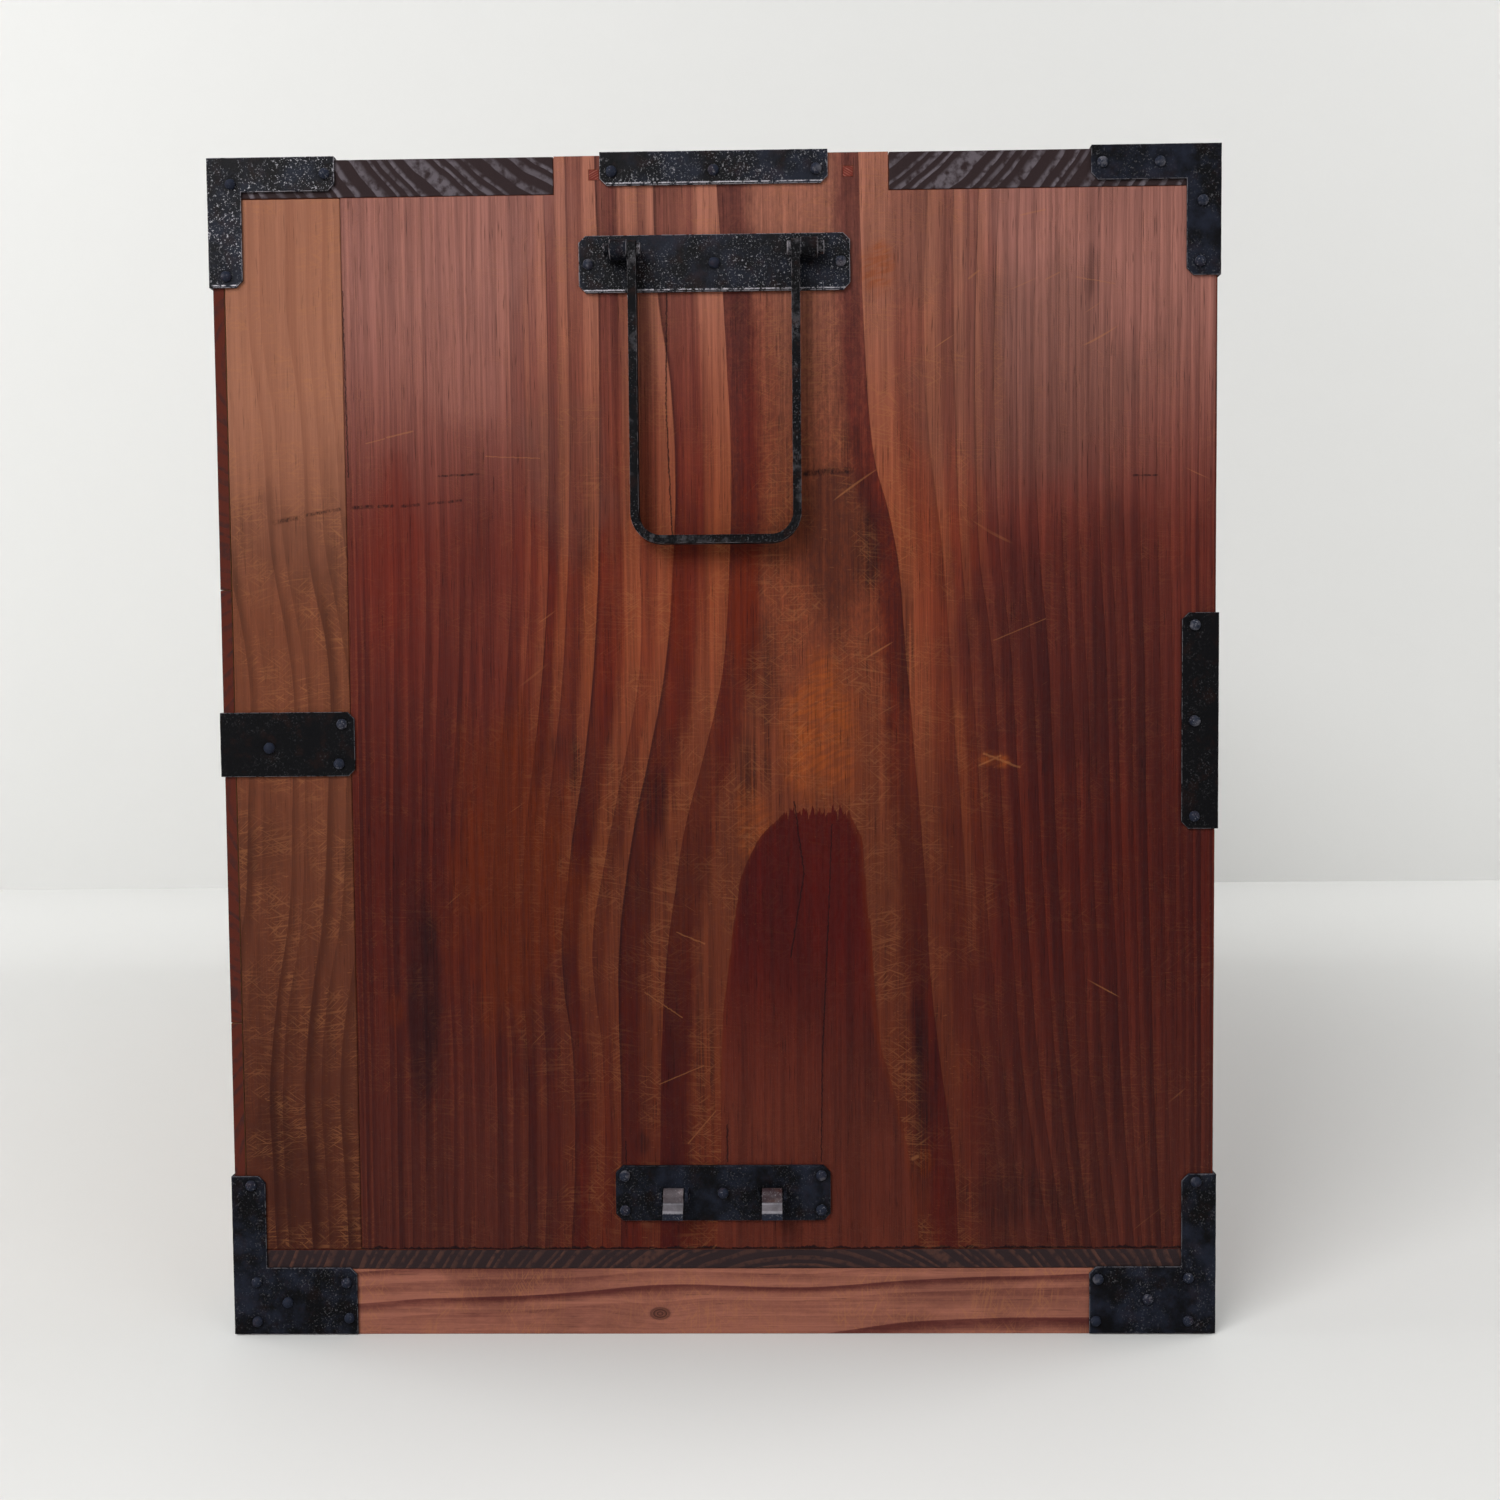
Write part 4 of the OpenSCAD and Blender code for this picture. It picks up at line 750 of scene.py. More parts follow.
def wide_board_material(name, side, seed):
    """The stained board with the arch figure: side -1 is the end that carries the marks."""
    wood = bpy.context.scene.chest_wood
    material, sheet, shader = start_material(name)
    x, y, z = sheet.places()
    across = BACK - y
    along = z if side < 0 else HIGH + FLOOR - z
    depth = x - LEFT if side < 0 else -1.0 * LEFT - x
    fig = sheet.use("Ring figure", Across=across, Along=along, Depth=depth, Seed=seed)
    fibre = sheet.use("Wood fibre", Across=across, Along=z, Depth=depth, Seed=seed)
    rubs = sheet.use("Scratches", Across=across, Along=z, Seed=seed)
    high = z / HIGH
    base, grain, late, away = stained_rings(sheet, fig, fibre, across, high)
    # Darker plum towards the front edge and the foot, and in broad streaks
    front = sheet.step(across / DEEP, 0.68, 0.95) * sheet.step(high, 0.85, 0.35)
    streaks = sheet.noise(sheet.vector(across, along * 0.1, seed + 9.0), 38, 3, 0.6)
    cold = sheet.step(streaks + front * 0.1, 0.5, 0.8) * 0.4
    base = sheet.mix(cold, base, wood.plum)

    ragged = sheet.noise(sheet.vector(across, along * 0.4, seed + 30.0), 60, 3, 0.6) * 1.4 - 0.7

    def patches(spots):
        return draw_patches(sheet, across, along, ragged, spots)

    ink = patches(SMUDGES[side]) * fibre["Streak"]
    scuff = rubs["Scratch"] * 0.35
    if side < 0:
        # Drifts of colour; the pale pink one is partly painted window sheen and one plum one a painted shadow
        # beside the right bail
        for name_of, spots in DRIFTS.items():
            base = sheet.mix(patches(spots), base, getattr(wood, name_of))
        ink = sheet.most(ink, draw_marks(sheet, across, along, SPILLS) * fibre["Mottle"])
        ink = sheet.most(ink, draw_marks(sheet, across, along, CRACKS) * 0.8)
        scuff = sheet.most(draw_marks(sheet, across, along, SCUFFS) * 0.3, scuff)
    # Gold where the stain has worn through, lacquer on the front edge and a gap along the foot
    gold = patches(GOLD[side]) * sheet.turn(fig["Arch"]) * sheet.between(rubs["Brush"], 0.35, 1.0)
    base = sheet.mix(gold * 0.85 * sheet.turn(late * 0.6), base, wood.golden)
    lip = sheet.step(across, DEEP - 1.2 * MM, DEEP - 0.5 * MM)
    base = sheet.mix(lip * 0.85, base, sheet.mix(grain, wood.lacquer_light, wood.lacquer_dark))
    gap = (sheet.noise(sheet.vector(across, 0.0, seed), 90, 4, 0.8) - 0.45) * 7 * MM
    ink = sheet.most(ink, sheet.step(z - gap, FLOOR + 0.9 * MM, FLOOR + 0.3 * MM) * 0.9)
    base = sheet.mix(ink, base, wood.ink)
    # Threads, pores, scuffs and worn corners
    base = sheet.mix(fibre["Streak"] * 0.5, base, sheet.mix(0.8, base, wood.plum))
    base = sheet.mix(fibre["Pore"] * 0.45, base, wood.ink)
    # A trace of pale grey in the grain: partly dust, partly painted glints
    base = sheet.mix(fibre["Mottle"] * 0.01, base, wood.dust_and_glint)
    open_wood = sheet.turn(late * 0.85 + fig["Arch"] * 0.9) * sheet.between(away, 1.0, 0.35)
    rubbed = sheet.most(rubs["Hatch"] * 0.2, rubs["Chip"] * 0.22) * open_wood
    rubbed = sheet.most(rubbed, sheet.most(scuff, rubs["Speck"] * 0.2))
    base = sheet.mix(rubbed, base, wood.scuff)
    worn = sheet.mark("edge") * sheet.step(sheet.noise(sheet.vector(x, y, z), 130, 3), 0.44, 0.6)
    base = sheet.mix(worn * 0.35, base, wood.golden)
    height = fibre["Streak"] * 0.3 + late * 0.6 - fibre["Pore"] * 0.35 - rubs["Hatch"] * 0.25
    rough = sheet.between(late, 0.5, 0.38) + fibre["Cloud"] * 0.06 + ink * 0.1
    finish_material(sheet, shader, base, rough, height, 0.35 * MM, Specular_IOR_Level=0.03)
    return material


AXES = {"x": 0, "y": 1, "z": 2}


def draw_knots(sheet, base, u, v, knots):
    """A board's colour with knots in it, each a place and a size in millimetres."""
    ink = bpy.context.scene.chest_wood.ink
    for (ku, kv), size in knots:
        du = u - ku * MM
        dv = v - kv * MM
        spread = sheet.math("SQRT", du * du + dv * dv * 0.4)
        rings = sheet.math("FRACT", spread / (size * 0.16 * MM))
        knot = sheet.step(spread, size * 0.35 * MM, size * 0.6 * MM, 1.0, 0.0)
        base = sheet.mix(knot * sheet.between(rings, 0.4, 0.85), base, ink)
    return base


def board_material(
    name, along, across, light, dark, pith, ring=6.0, taper=0.02, seed=0.0, end=None,
    contrast=0.8, aged=0.3, rubbed=0.4, shine=0.46, gloss=0.04, relief=0.16, coat=0.0, knots=(), marks=(),
):
    """A plain board. Pith is its heart's place in millimetres, across the board and through it."""
    wood = bpy.context.scene.chest_wood
    material, sheet, shader = start_material(name)
    spots = sheet.places()
    # Colours by height, paler towards the top: on the narrow side boards partly painted sheen of the window
    # light
    if isinstance(light, tuple):
        light, dark = (
            sheet.ramp(spots[2] / HIGH, ((0.15, low), (0.6, middle), (0.82, top)))
            for low, middle, top in (light, dark)
        )
    through = ({"x", "y", "z"} - {along, across}).pop()
    u = spots[AXES[across]]
    v = spots[AXES[along]]
    w = spots[AXES[through]]
    for (ku, kv), size in knots:
        du = u - ku * MM
        dv = v - kv * MM
        swell = sheet.step(sheet.math("SQRT", du * du * 6.0 + dv * dv), 0.0, size * 5 * MM, 1.0, 0.0)
        u = u + swell * size * 0.45 * MM
    grown = sheet.use(
        "Growth rings", Across=u, Along=v, Depth=w, Pith=pith[0] * MM, Heart=pith[1] * MM,
        Ring=ring * MM, Taper=taper, Seed=seed,
    )
    fibre = sheet.use("Wood fibre", Across=u, Along=v, Depth=w, Seed=seed)
    rubs = sheet.use("Scratches", Across=u, Along=v, Seed=seed)
    late = grown["Late"] * sheet.between(grown["Tone"], 0.35, 1.0)
    grain = late * contrast + (fibre["Band"] - 0.5) * 0.35 + (fibre["Cloud"] - 0.5) * aged
    grain = grain + (fibre["Mottle"] - 0.5) * 0.25
    base = sheet.mix(sheet.step(grain, 0.0, 1.0, smooth=False), light, dark)
    base = sheet.mix(fibre["Streak"] * 0.3, base, sheet.mix(0.45, dark, wood.ink))
    base = sheet.mix(fibre["Pore"] * 0.3, base, wood.ink)
    # A trace of pale grey in the grain: partly dust, partly painted glints
    base = sheet.mix(fibre["Mottle"] * 0.01, base, wood.dust_and_glint)
    base = sheet.mix(sheet.step(fibre["Cloud"], 0.55, 1.0) * aged * 0.6, base, wood.ink)
    scuffs = sheet.most(rubs["Scratch"], rubs["Speck"] * 0.6)
    scuffs = sheet.most(scuffs, sheet.most(rubs["Hatch"] * 0.5, rubs["Chip"] * 0.5) * sheet.turn(late))
    base = sheet.mix(scuffs * rubbed, base, wood.scuff)
    base = draw_knots(sheet, base, spots[AXES[across]], v, knots)
    if marks:
        base = sheet.mix(draw_marks(sheet, u, v, marks) * fibre["Mottle"] * 0.9, base, wood.ink)
    worn = sheet.mark("edge") * sheet.step(sheet.noise(sheet.vector(*spots), 130, 3), 0.45, 0.6)
    base = sheet.mix(worn * 0.5, base, wood.scuff if end is None else light)
    height = fibre["Streak"] * 0.3 + late * 0.4 - fibre["Pore"] * 0.3 - rubs["Scratch"] * 0.4
    rough = sheet.between(late, shine + 0.05, shine - 0.04) + fibre["Cloud"] * 0.08
    if end is not None:
        ends = sheet.step(sheet.facing()[AXES[along]], 0.6, 0.8)
        lines = sheet.step(grown["Late"], 0.3, 0.9) * sheet.between(grown["Tone"], 0.4, 0.9)
        dirt = sheet.noise(sheet.vector(*spots), 300, 3)
        face = sheet.mix(lines * sheet.step(dirt, 0.3, 0.6), end[0], end[1])
        base = sheet.mix(ends, base, face)
        rough = rough + ends * 0.12
    finish_material(
        sheet, shader, base, rough, height, relief * MM, Specular_IOR_Level=gloss, Coat_Weight=coat,
        Coat_Roughness=0.22,
    )
    return material


def iron_material(
    name, seed=0.0, bloom_and_sheen=0.5, flecks_and_glints=0.5, rust=0.2, bare=0.6, pits=0.12, shine=0.5, body=None, bared=0.0,
    ledge=None, gloss=0.05,
):
    """Forged iron: bare is how bright its corners are rubbed, bared how much of its skin is gone.

    A ledge is the height in metres of a plate's lower edge, just above which a line has worn bright.
    """
    iron = bpy.context.scene.chest_iron
    material, sheet, shader = start_material(name)
    point = sheet.add("TexCoord", output="Object")
    skin = sheet.use("Iron skin", Point=point, Seed=seed)
    facing = sheet.split(sheet.add("TexCoord", output="Normal"))
    under = sheet.step(facing[2], -0.2, -0.6)
    edge = sheet.mark("edge")
    dent = sheet.mark("dent")
    # Blue-grey clouds on the black: partly oxide film, partly painted sheen
    base = sheet.mix(skin["Cloud"] * bloom_and_sheen, body or iron.oxide, iron.slate)
    base = sheet.mix(skin["Rust"] * rust, base, iron.rust)
    base = sheet.mix(dent * 0.6, base, iron.oxide)
    # Pale specks: partly pale dust in the pits, partly painted glints
    base = sheet.mix(skin["Fleck"] * flecks_and_glints, base, iron.fleck)
    rubbed = edge * skin["Chip"] * sheet.between(under, bare * 0.7, bare)
    rubbed = sheet.most(rubbed, skin["Chip"] * skin["Wear"] * bared)
    if ledge is not None:
        rise = sheet.math("ABSOLUTE", sheet.split(point)[2] - (ledge + 1.1 * MM))
        line = sheet.step(rise + skin["Pit"] * 0.9 * MM, 0.5 * MM, 0.9 * MM, 1.0, 0.0)
        rubbed = sheet.most(rubbed, line * skin["Chip"] * 0.9)
    base = sheet.mix(rubbed, base, iron.bright)
    metal = sheet.step(rubbed, 0.2, 0.8) * 0.6
    rough = shine + skin["Pit"] * 0.16 - rubbed * 0.14 + dent * 0.1
    height = skin["Pit"] - skin["Fleck"] * 0.3 - rubbed * 0.1
    finish_material(sheet, shader, base, rough, height, pits * MM, metal, Specular_IOR_Level=gloss)
    return material


# Shaping

WELD = 0.001 * MM
FLAT = math.radians(0.5)
CORNER = math.radians(25)
SHARP = math.radians(50)


def islands(shape):
    """The separate solids of a mesh, as lists of vertices."""
    left = set(shape.verts)
    while left:
        grown = [left.pop()]
        for vert in grown:
            for edge in vert.link_edges:
                other = edge.other_vert(vert)
                if other in left:
                    left.discard(other)
                    grown.append(other)
        yield grown


def far_corners(verts):
    """The lowest and highest corner of the box round some vertices."""
    return [Vector(pick(v.co[k] for v in verts) for k in range(3)) for pick in (min, max)]


def welded(node):
    """A node's mesh to work on, its triangles joined up."""
    shape = bmesh.new()
    shape.from_mesh(frame["nodes"][node].data)
    bmesh.ops.remove_doubles(shape, verts=shape.verts, dist=WELD)
    return shape


def solid_boxes(node):
    """The lowest and highest corner of each solid in a node."""
    shape = welded(node)
    boxes = [far_corners(verts) for verts in islands(shape)]
    shape.free()
    return sorted(boxes, key=lambda pair: tuple(round(c, 5) for c in pair[0]))


def cut_cells(shape, cell):
    """Cuts every solid into cells, so that its faces can wave."""
    for verts in list(islands(shape)):
        low, high = far_corners(verts)
        edges = {edge for vert in verts for edge in vert.link_edges}
        faces = {face for vert in verts for face in vert.link_faces}
        geometry = verts + list(edges) + list(faces)
        for k in range(3):
            count = round((high[k] - low[k]) / cell)
            for i in range(1, count):
                spot = Vector(low)
                spot[k] += (high[k] - low[k]) * i / count
                way = Vector((k == 0, k == 1, k == 2))
                made = bmesh.ops.bisect_plane(shape, geom=geometry, plane_co=spot, plane_no=way, dist=WELD)
                geometry = made["geom"]


def ease(node, corner, shortest=2.5 * MM, cell=0.0, sink=None, segments=2):
    """A node's mesh with rubbed corners, and with its skin sunk by what sink(place, normal) says."""
    shape = welded(node)
    bmesh.ops.dissolve_limit(shape, angle_limit=FLAT, verts=shape.verts, edges=shape.edges)
    edge_mark = shape.faces.layers.float.new("edge")
    dent_mark = shape.verts.layers.float.new("dent")
    corners = [e for e in shape.edges if e.calc_length() > shortest and e.calc_face_angle(0) > CORNER]
    made = bmesh.ops.bevel(
        shape, geom=corners, offset=corner, offset_type="OFFSET", segments=segments, profile=0.6,
        affect="EDGES", clamp_overlap=True,
    )
    for face in made["faces"]:
        face[edge_mark] = 1.0
    if cell:
        cut_cells(shape, cell)
    if sink:
        shape.normal_update()
        moves = [(vert, *sink(vert.co, vert.normal)) for vert in shape.verts]
        for vert, fall, dent in moves:
            vert.co -= vert.normal * fall
            vert[dent_mark] = dent
    return shape


def add_piece(name, shape, material, body, slot, nodes):
    """Turns a finished shape into a piece that rides on a body and stands for CAD nodes."""
    for face in shape.faces:
        face.smooth = True
    mesh = bpy.data.meshes.new(name)
    shape.to_mesh(mesh)
    shape.free()
    mesh.materials.append(material)
    mesh.set_sharp_from_angle(angle=SHARP)
    piece = bpy.data.objects.new(name, mesh)
    bpy.context.scene.collection.objects.link(piece)
    flatten = piece.modifiers.new("flat faces", "WEIGHTED_NORMAL")
    flatten.keep_sharp = True
    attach(piece, body)
    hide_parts(*nodes)
    return piece


def finish_node(node, material, slot, **easing):
    """Stands an eased copy of a node in the node's own place."""
    return add_piece(node + ".finished", ease(node, **easing), material, BODY_OF[node], slot, [node])


def planed(depth, seed=0.0):
    """Sinks a board's skin in slow waves, as a hand plane leaves it."""
    offset = Vector((seed, seed * 2, seed * 3))

    def sink(place, normal):
        wave = 0.5 + 0.5 * noise.noise(place * 14 + offset)
        ripple = 0.5 + 0.5 * noise.noise(place * 55 + offset)
        return depth * (0.7 * wave + 0.3 * ripple), 0.0

    return sink


def finish_board(node, material, slot, seed=None, cell=12, corner=1.0, wave=1.0):
    """Finishes a board: cells in millimetres, corner and wave as shares of the settings."""
    wood = bpy.context.scene.chest_wood
    planing = {} if seed is None else {"cell": cell * MM, "sink": planed(wood.wave * wave, seed)}
    return finish_node(node, material, slot, corner=wood.corner * corner, **planing)


def nail_places(node):
    """Each nail's outer end and the way that it points."""
    places = []
    for low, high in solid_boxes(node):
        size = high - low
        k = max(range(3), key=lambda i: size[i])
        middle = (low + high) / 2
        way = Vector((0, 0, 0))
        way[k] = 1.0 if k == 2 or middle[k] > 0 else -1.0
        top = Vector(middle)
        top[k] = high[k] if way[k] > 0 else low[k]
        places.append((top, way))
    return places


# How far round a nail its plate is driven in, and how far from the nail's end a face still counts
DIMPLE_REACH = 5.5 * MM
DIMPLE_DEPTH = 4 * MM


def hammered(nails):
    """Sinks an iron's skin in small marks, and in a dimple round each of its nails."""
    iron = bpy.context.scene.chest_iron

    def sink(place, normal):
        fall = iron.hammer * (0.5 + 0.5 * noise.noise(place * 170))
        fall += iron.hammer * 0.6 * (0.5 + 0.5 * noise.noise(place * 420))
        dent = 0.0
        for top, way in nails:
            off = place - top
            if normal.dot(way) > 0.5 and abs(off.dot(way)) < DIMPLE_DEPTH:
                gap = (off - way * off.dot(way)).length
                if gap < DIMPLE_REACH:
                    dent = max(dent, 0.5 + 0.5 * math.cos(math.pi * gap / DIMPLE_REACH))
        return fall + iron.dimple * dent, min(1.0, dent * 1.6)

    return sink


# A nail head's sides, and its radius, rise and root in millimetres
HEAD_SIDES = 14
HEAD_RADIUS = 2.45
HEAD_DOME = 1.5
HEAD_ROOT = 0.9
# Its rings from the plate up: share of the radius, and height in millimetres
HEAD_RINGS = ((1.0, -0.75), (1.0, 0.1), (0.94, 0.42), (0.8, 0.74), (0.58, 1.08), (0.3, 1.36))


def nail_head(shape, top, way, rng):
    """One forged nail head: a domed, slightly lopsided cap that reaches a little into its plate."""
    iron = bpy.context.scene.chest_iron
    side = way.orthogonal().normalized()
    other = way.cross(side)
    base = top - way * HEAD_DOME * MM
    lean = [1 + iron.uneven * rng.uniform(-1, 1) for _ in range(HEAD_SIDES)]
    size = HEAD_RADIUS * rng.uniform(0.93, 1.0)
    loops = []
    for wide, high in HEAD_RINGS:
        loop = []
        for i, stretch in enumerate(lean):
            angle = 2 * math.pi * i / len(lean)
            out = side * math.cos(angle) + other * math.sin(angle)
            reach = size * wide * min(1.0, stretch * (1 if wide > 0.7 else 1.02))
            loop.append(shape.verts.new(base + out * reach * MM + way * high * MM))
        loops.append(loop)
    for lower, upper in zip(loops, loops[1:]):
        for i in range(len(lower)):
            j = (i + 1) % len(lower)
            shape.faces.new((lower[i], lower[j], upper[j], upper[i]))
    cap = shape.verts.new(top - way * 0.02 * MM)
    root = shape.verts.new(base - way * HEAD_ROOT * MM)
    for i in range(len(lean)):
        j = (i + 1) % len(lean)
        shape.faces.new((loops[-1][i], loops[-1][j], cap))
        shape.faces.new((loops[0][j], loops[0][i], root))


def forge_heads(node, nails, skin, rng):
    """Stands forged heads in a node of nails."""
    shape = bmesh.new()
    for top, way in nails:
        nail_head(shape, top, way, rng)
    add_piece(node + ".finished", shape, skin, BODY_OF[node], "black_iron", [node])


# The room

ROOM_REACH = 6.0
# How far from the chest the room starts and ends its change into the backdrop
FADE = (1.9, 3.4)
# Where the lamps point, and the camera's place, its turn, tilt and roll in degrees, and its lens
LAMP_TARGET = (0.0, 0.0, 0.26)
EYE = (-1.0902, -0.0213, 0.2836)
TURN = (1.06, -2.62, -0.5)
LENS = 36.0


def stage_material(name, base, see_through_back=False):
    """A pale sheet. Its far parts go over into the backdrop that the camera sees."""
    room = bpy.context.scene.chest_stage
    material, sheet, shader = start_material(name)
    point = sheet.add("TexCoord", output="Object")
    cloud = sheet.noise(point, 1.6, 3)
    grit = sheet.noise(point, 240, 2)
    paint = sheet.mix(cloud * 0.05, base, [c * 0.9 for c in base])
    finish_material(sheet, shader, paint, 0.75 + cloud * 0.1, grit, 0.05 * MM, Specular_IOR_Level=0.15)
    tree = material.node_tree
    far = sheet.add("VectorMath", {0: point}, output="Value", operation="LENGTH")
    covers = [("Emission", sheet.step(far, *FADE) * sheet.add("LightPath", output="Is Camera Ray"))]
    if see_through_back:
        covers.append(("BsdfTransparent", sheet.add("NewGeometry", output="Backfacing")))
    last = shader
    for kind, part in covers:
        over = tree.nodes.new("ShaderNode" + kind)
        if kind == "Emission":
            over.inputs["Strength"].default_value = room.backdrop
        blend = tree.nodes.new("ShaderNodeMixShader")
        sheet.feed(blend.inputs[0], part)
        tree.links.new(last.outputs[0], blend.inputs[1])
        tree.links.new(over.outputs[0], blend.inputs[2])
        last = blend
    leave = next(n for n in tree.nodes if n.type == "OUTPUT_MATERIAL")
    tree.links.new(last.outputs[0], leave.inputs["Surface"])
    return material


def stage_sheet(name, corners, material):
    """One flat sheet of the room."""
    mesh = bpy.data.meshes.new(name)
    mesh.from_pydata([tuple(c) for c in corners], [], [(0, 1, 2, 3)])
    mesh.materials.append(material)
    piece = bpy.data.objects.new(name, mesh)
    bpy.context.scene.collection.objects.link(piece)
    piece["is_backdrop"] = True


def aim(item, place, target):
    """Puts a lamp at a place, turned to its target."""
    item.location = place
    item.rotation_euler = (Vector(target) - Vector(place)).to_track_quat("-Z", "Y").to_euler()


# Each lamp's name, place, size and share of the window's power
LAMPS = (
    ("window", (-2.3, 1.3, 1.9), 1.5, 1.0),
    ("left fill", (-2.2, -1.7, 1.7), 1.6, 0.2),
    ("front", (0.5, -2.7, 2.0), 2.0, 1.0),
    ("right", (2.5, -1.2, 2.0), 2.0, 0.75),
    ("back", (0.3, 2.8, 2.0), 2.0, 0.8),
)


class ChestOperator:
    """What the chest's operators share."""

    bl_options = {"REGISTER", "UNDO"}


class CHEST_OT_stage(ChestOperator, bpy.types.Operator):
    """Add the floor, the wall, the light and the camera"""

    bl_idname = "chest.stage"
    bl_label = "Room and Camera"

    def execute(self, context):
        room = context.scene.chest_stage
        far, gap = ROOM_REACH, room.wall_gap
        floor = stage_material("floor", room.floor)
        wall = stage_material("wall", room.wall, see_through_back=True)
        stage_sheet("floor", ((-far, -far, 0), (gap, -far, 0), (gap, far, 0), (-far, far, 0)), floor)
        stage_sheet("floor_behind", ((gap, -far, 0), (far, -far, 0), (far, far, 0), (gap, far, 0)), floor)
        stage_sheet("wall", ((gap, -far, 0), (gap, -far, far), (gap, far, far), (gap, far, 0)), wall)
        self.light(context, room)
        self.camera(context)
        context.scene.view_settings.view_transform = "Standard"
        return {"FINISHED"}

    def light(self, context, room):
        """A pale world for the camera's and the mirrors' rays, a dim one for light, and the lamps."""
        world = bpy.data.worlds.new("soft room")
        world.use_nodes = True
        sheet = Sheet(world.node_tree)
        back = world.node_tree.nodes["Background"]
        back.inputs["Color"].default_value = (0.98, 0.99, 1.0, 1.0)
        seen = sheet.add("LightPath", output="Is Camera Ray")
        for kind in ("Is Glossy Ray", "Is Transmission Ray"):
            seen = sheet.most(seen, sheet.add("LightPath", output=kind))
        sheet.feed(back.inputs["Strength"], sheet.between(seen, room.sky, room.backdrop))
        context.scene.world = world
        for name, place, size, power in LAMPS:
            lamp = bpy.data.lights.new(name, "AREA")
            lamp.size = size
            lamp.energy = room.lamp * power
            item = bpy.data.objects.new(name, lamp)
            context.scene.collection.objects.link(item)
            aim(item, place, LAMP_TARGET)

    def camera(self, context):
        """The photograph's view: nearly square on to the left end."""
        yaw, pitch, roll = (math.radians(angle) for angle in TURN)
        ahead = Vector((math.cos(pitch) * math.cos(yaw), math.cos(pitch) * math.sin(yaw), math.sin(pitch)))
        right = ahead.cross(Vector((0, 0, 1))).normalized()
        up = right.cross(ahead)
        right, up = (
            right * math.cos(roll) + up * math.sin(roll), up * math.cos(roll) - right * math.sin(roll)
        )
        lens = bpy.data.cameras.new("camera")
        lens.sensor_width = 36.0
        lens.lens = LENS
        lens.clip_start = 0.02
        camera = bpy.data.objects.new("camera", lens)
        camera.matrix_world = Matrix.Translation(EYE) @ Matrix((right, up, -ahead)).transposed().to_4x4()
        context.scene.collection.objects.link(camera)
        context.scene.camera = camera


# The case

class CHEST_OT_side_boards(ChestOperator, bpy.types.Operator):
    """Finish the two boards of each end"""

    bl_idname = "chest.side_boards"
    bl_label = "Side Boards"

    def execute(self, context):
        wood = context.scene.chest_wood
        spills = [
            ((BACK / MM - u0, v0), (BACK / MM - u1, v1), width)
            for (u0, v0), (u1, v1), width in SPILLS if u0 < SEAM / MM
        ]
        for side, word in ((-1, "left"), (1, "right")):
            skin = wide_board_material(word + " wide board", side, 0.0 if side < 0 else 4.0)
            finish_board(word + "_side_wide_board", skin, "red_side_wood", side, cell=8)
            # The narrow board's colours rise by height, paler at the top partly by painted sheen
            skin = board_material(
                word + " narrow board", "z", "y", (wood.amber_low, wood.amber_high, wood.amber_top),
                (wood.amber_dark_low, wood.amber_dark_high, wood.amber_dark_top), pith=(90, side * 445),
                ring=8.5, taper=0.012, seed=5.0 + side, contrast=0.9, rubbed=0.5,
                end=(wood.end_dark, wood.end_light), marks=spills if side < 0 else (),
            )
            finish_board(word + "_side_narrow_board", skin, "amber_side_wood", side + 3, cell=8)
        return {"FINISHED"}


class CHEST_OT_case_boards(ChestOperator, bpy.types.Operator):
    """Finish the top, the bottom, the shelf, the rail and the back boards"""

    bl_idname = "chest.case_boards"
    bl_label = "Case Boards"

    def execute(self, context):
        wood = context.scene.chest_wood
        ends = (wood.end_dark, wood.end_light)
        top = board_material(
            "top panel", "x", "y", wood.light_mid, wood.dark_mid, pith=(12, 610), ring=5.4,
            taper=0.004, seed=2.0, end=ends, contrast=1.0, aged=0.16, rubbed=0.6, shine=0.42,
        )
        bottom = board_material(
            "bottom panel", "x", "y", wood.lacquer_light, wood.lacquer_dark, pith=(-30, -60), ring=4.0,
            taper=0.004, seed=3.0, end=(wood.end_dark, wood.foot_light),
        )
        rail = board_material(
            "mid rail", "x", "z", wood.lacquer_light, wood.lacquer_dark, pith=(300, -150), ring=3.5,
            taper=0.005, seed=4.0, end=ends, coat=0.25,
        )
        shelf = board_material(
            "shelf", "x", "y", wood.bare_light, wood.bare_dark, pith=(-40, 330), ring=4.0,
            taper=0.004, seed=6.0, relief=0.1, gloss=0.05, shine=0.6,
        )
        finish_board("top_panel", top, "red_side_wood", 5)
        finish_board("bottom_panel", bottom, "dark_end_grain", 6, corner=0.6)
        finish_board("mid_rail", rail, "lacquered_wood")
        finish_board("shelf_panel", shelf, "bare_wood")
        ends = (wood.outer_low, wood.end_dark)
        for k, word in enumerate(("bottom", "middle", "top")):
            skin = board_material(
                "back board " + word, "x", "z", wood.bare_dark, wood.umber,
                pith=(60 + 180 * k, 150 + 20 * k), ring=4.4 + 0.6 * k, taper=0.012, seed=7.0 + 5 * k,
                end=ends, aged=0.1 + 0.04 * k, contrast=1.0 - 0.2 * k, rubbed=0.2, shine=0.6,
            )
            finish_board("back_board_" + word, skin, "bare_wood", 7 + k, cell=14, corner=0.7)
        return {"FINISHED"}


